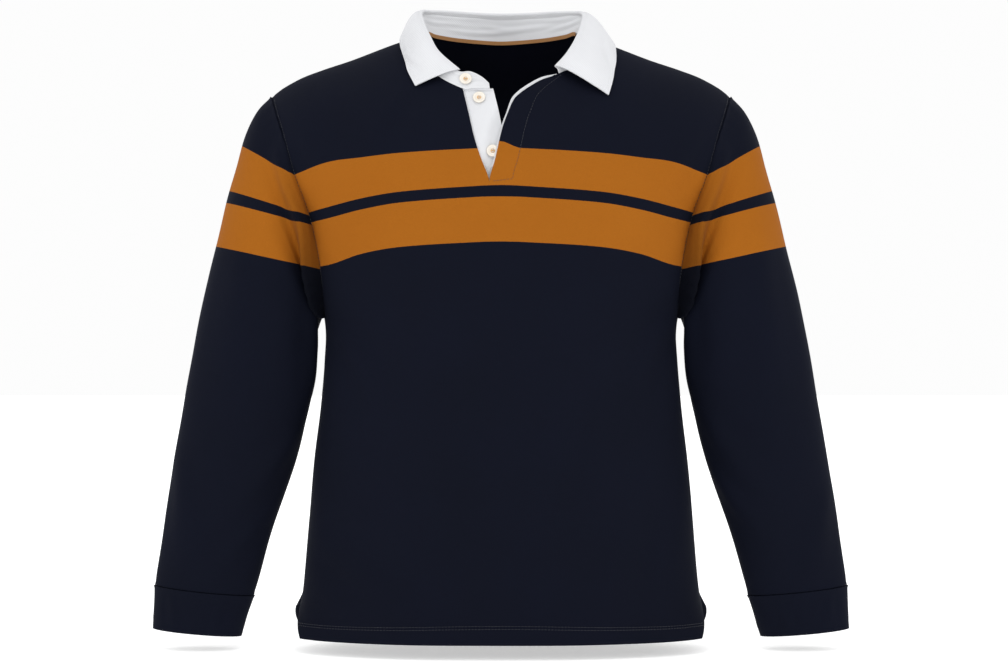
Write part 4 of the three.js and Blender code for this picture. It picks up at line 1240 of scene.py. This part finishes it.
def button(number, centre, normal):
    name = f"button_{number}"
    side = unit(np.cross(normal, (0.12, 0.0, 1.0)))
    up = np.cross(side, normal)
    verts, faces, marks = [], [], []

    def at(a, b, h):
        return (centre + side * a + up * b + normal * (h - BUTTON_MIDDLE)) / 1000

    angles = np.linspace(0, 2 * math.pi, TURNS + 1)[:-1]
    for r, h in PROFILE[1:-1]:
        verts += [at(r * math.cos(q), r * math.sin(q), h) for q in angles]
    loops = len(PROFILE) - 2
    for k in range(loops - 1):
        for q in range(TURNS):
            a, b = k * TURNS + q, k * TURNS + (q + 1) % TURNS
            faces.append((a, a + TURNS, b + TURNS, b))
            marks.append(0)
    faces.append(tuple(range(TURNS)))
    marks.append(1)
    faces.append(tuple(range((loops - 1) * TURNS, loops * TURNS))[::-1])
    marks.append(0)
    mesh = bpy.data.meshes.new(name + "_shell")
    mesh.from_pydata([tuple(v) for v in verts], [], faces)
    mesh.materials.append(BUTTON_LOOK)
    mesh.materials.append(CENTRE_LOOK)
    mesh.polygons.foreach_set("material_index", marks)
    mesh.polygons.foreach_set("use_smooth", [len(f) == 4 for f in faces])
    obj = placed(name + "_shell", mesh)
    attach(obj, "root")
    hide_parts(name)
    # Thread through the four holes, as two short bars sunk at their ends.
    lines = []
    for b in (-1.3, 1.3):
        path = [(-1.7, b, 0.9), (-1.2, b, 1.35), (0, b, 1.5), (1.2, b, 1.35), (1.7, b, 0.9)]
        points = np.array([at(*p) * 1000 for p in path])
        lines += [(points + up * k, np.tile(normal, (5, 1))) for k in (-0.25, 0.25)]
    stitches(name + "_thread", lines, WHITE_THREAD, length=2.4, gap=0.1, wide=0.5)


def button_seat(number):
    low, high = (np.array(v) * 1000 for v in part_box(f"button_{number}"))
    return (low + high) / 2


seats = {n: button_seat(n) for n in (1, 2, 3)}
stand_normals = stand.normals()
near = np.argmin(np.linalg.norm(stand.points - seats[1], axis=1))
button(1, seats[1], stand_normals[near])
for n in (2, 3):
    near = np.argmin(np.linalg.norm(strip.points - seats[n], axis=1))
    button(n, seats[n], strip.normals()[near])

# ---- Stage, light and camera ------------------------------------------------


def paper_material():
    """Matt white paper, faintly uneven and lit evenly."""
    n = Recipe("paper")
    cloud = n.add("TexNoise", Vector=n.place, Scale=spots(333.3), Detail=3)
    colour = n.add("Mix", COLOURS, 2, i0=cloud, i6=rgb("#f6f6f6"), i7=rgb("#f9f9f9"))
    n.add("OutputMaterial", Surface=n.add(
        "BsdfPrincipled", Base_Color=colour, Roughness=0.9, Emission_Color=rgb("#ffffff"),
        Emission_Strength=0.48,
    ))
    return n.material


def floor():
    verts = [(x, y, FLOOR_Z) for x, y in ((-9, -7), (9, -7), (9, 11), (-9, 11))]
    mesh = bpy.data.meshes.new("floor")
    mesh.from_pydata(verts, [], [(0, 1, 2, 3)])
    mesh.materials.append(paper_material())
    placed("floor", mesh)


def lamp(name, place, target, size, power):
    light = bpy.data.lights.new(name, "AREA")
    light.shape = "RECTANGLE"
    light.size, light.size_y = size
    light.energy = power
    obj = placed(name, light)
    obj.location = place
    obj.rotation_euler = (Vector(target) - Vector(place)).to_track_quat("-Z", "Y").to_euler()


floor()
lamp("key", (-1.6, -3.0, 1.4), (0, 0, -0.35), (2.0, 2.0), 9)
lamp("fill", (2.2, -2.6, 0.5), (0, 0, -0.35), (2.0, 2.4), 5)
lamp("top", (0.0, -1.5, 2.3), (0, 0.05, 0.0), (1.6, 1.2), 12)

world = bpy.data.worlds.new("studio")
world.use_nodes = True
world.node_tree.nodes["Background"].inputs[0].default_value = (1, 1, 1, 1)
world.node_tree.nodes["Background"].inputs[1].default_value = 0.98
bpy.context.scene.world = world

camera_data = bpy.data.cameras.new("camera")
camera_data.lens = 76.1
camera_data.sensor_width = 36
camera = placed("camera", camera_data)
camera.location = (0.0037, -2.6, -0.356)
camera.rotation_euler = (math.pi / 2, 0, 0)
bpy.context.scene.camera = camera
bpy.context.scene.view_settings.view_transform = "Standard"


def plain(bounds):
    return [[float(v) for v in corner] for corner in bounds]
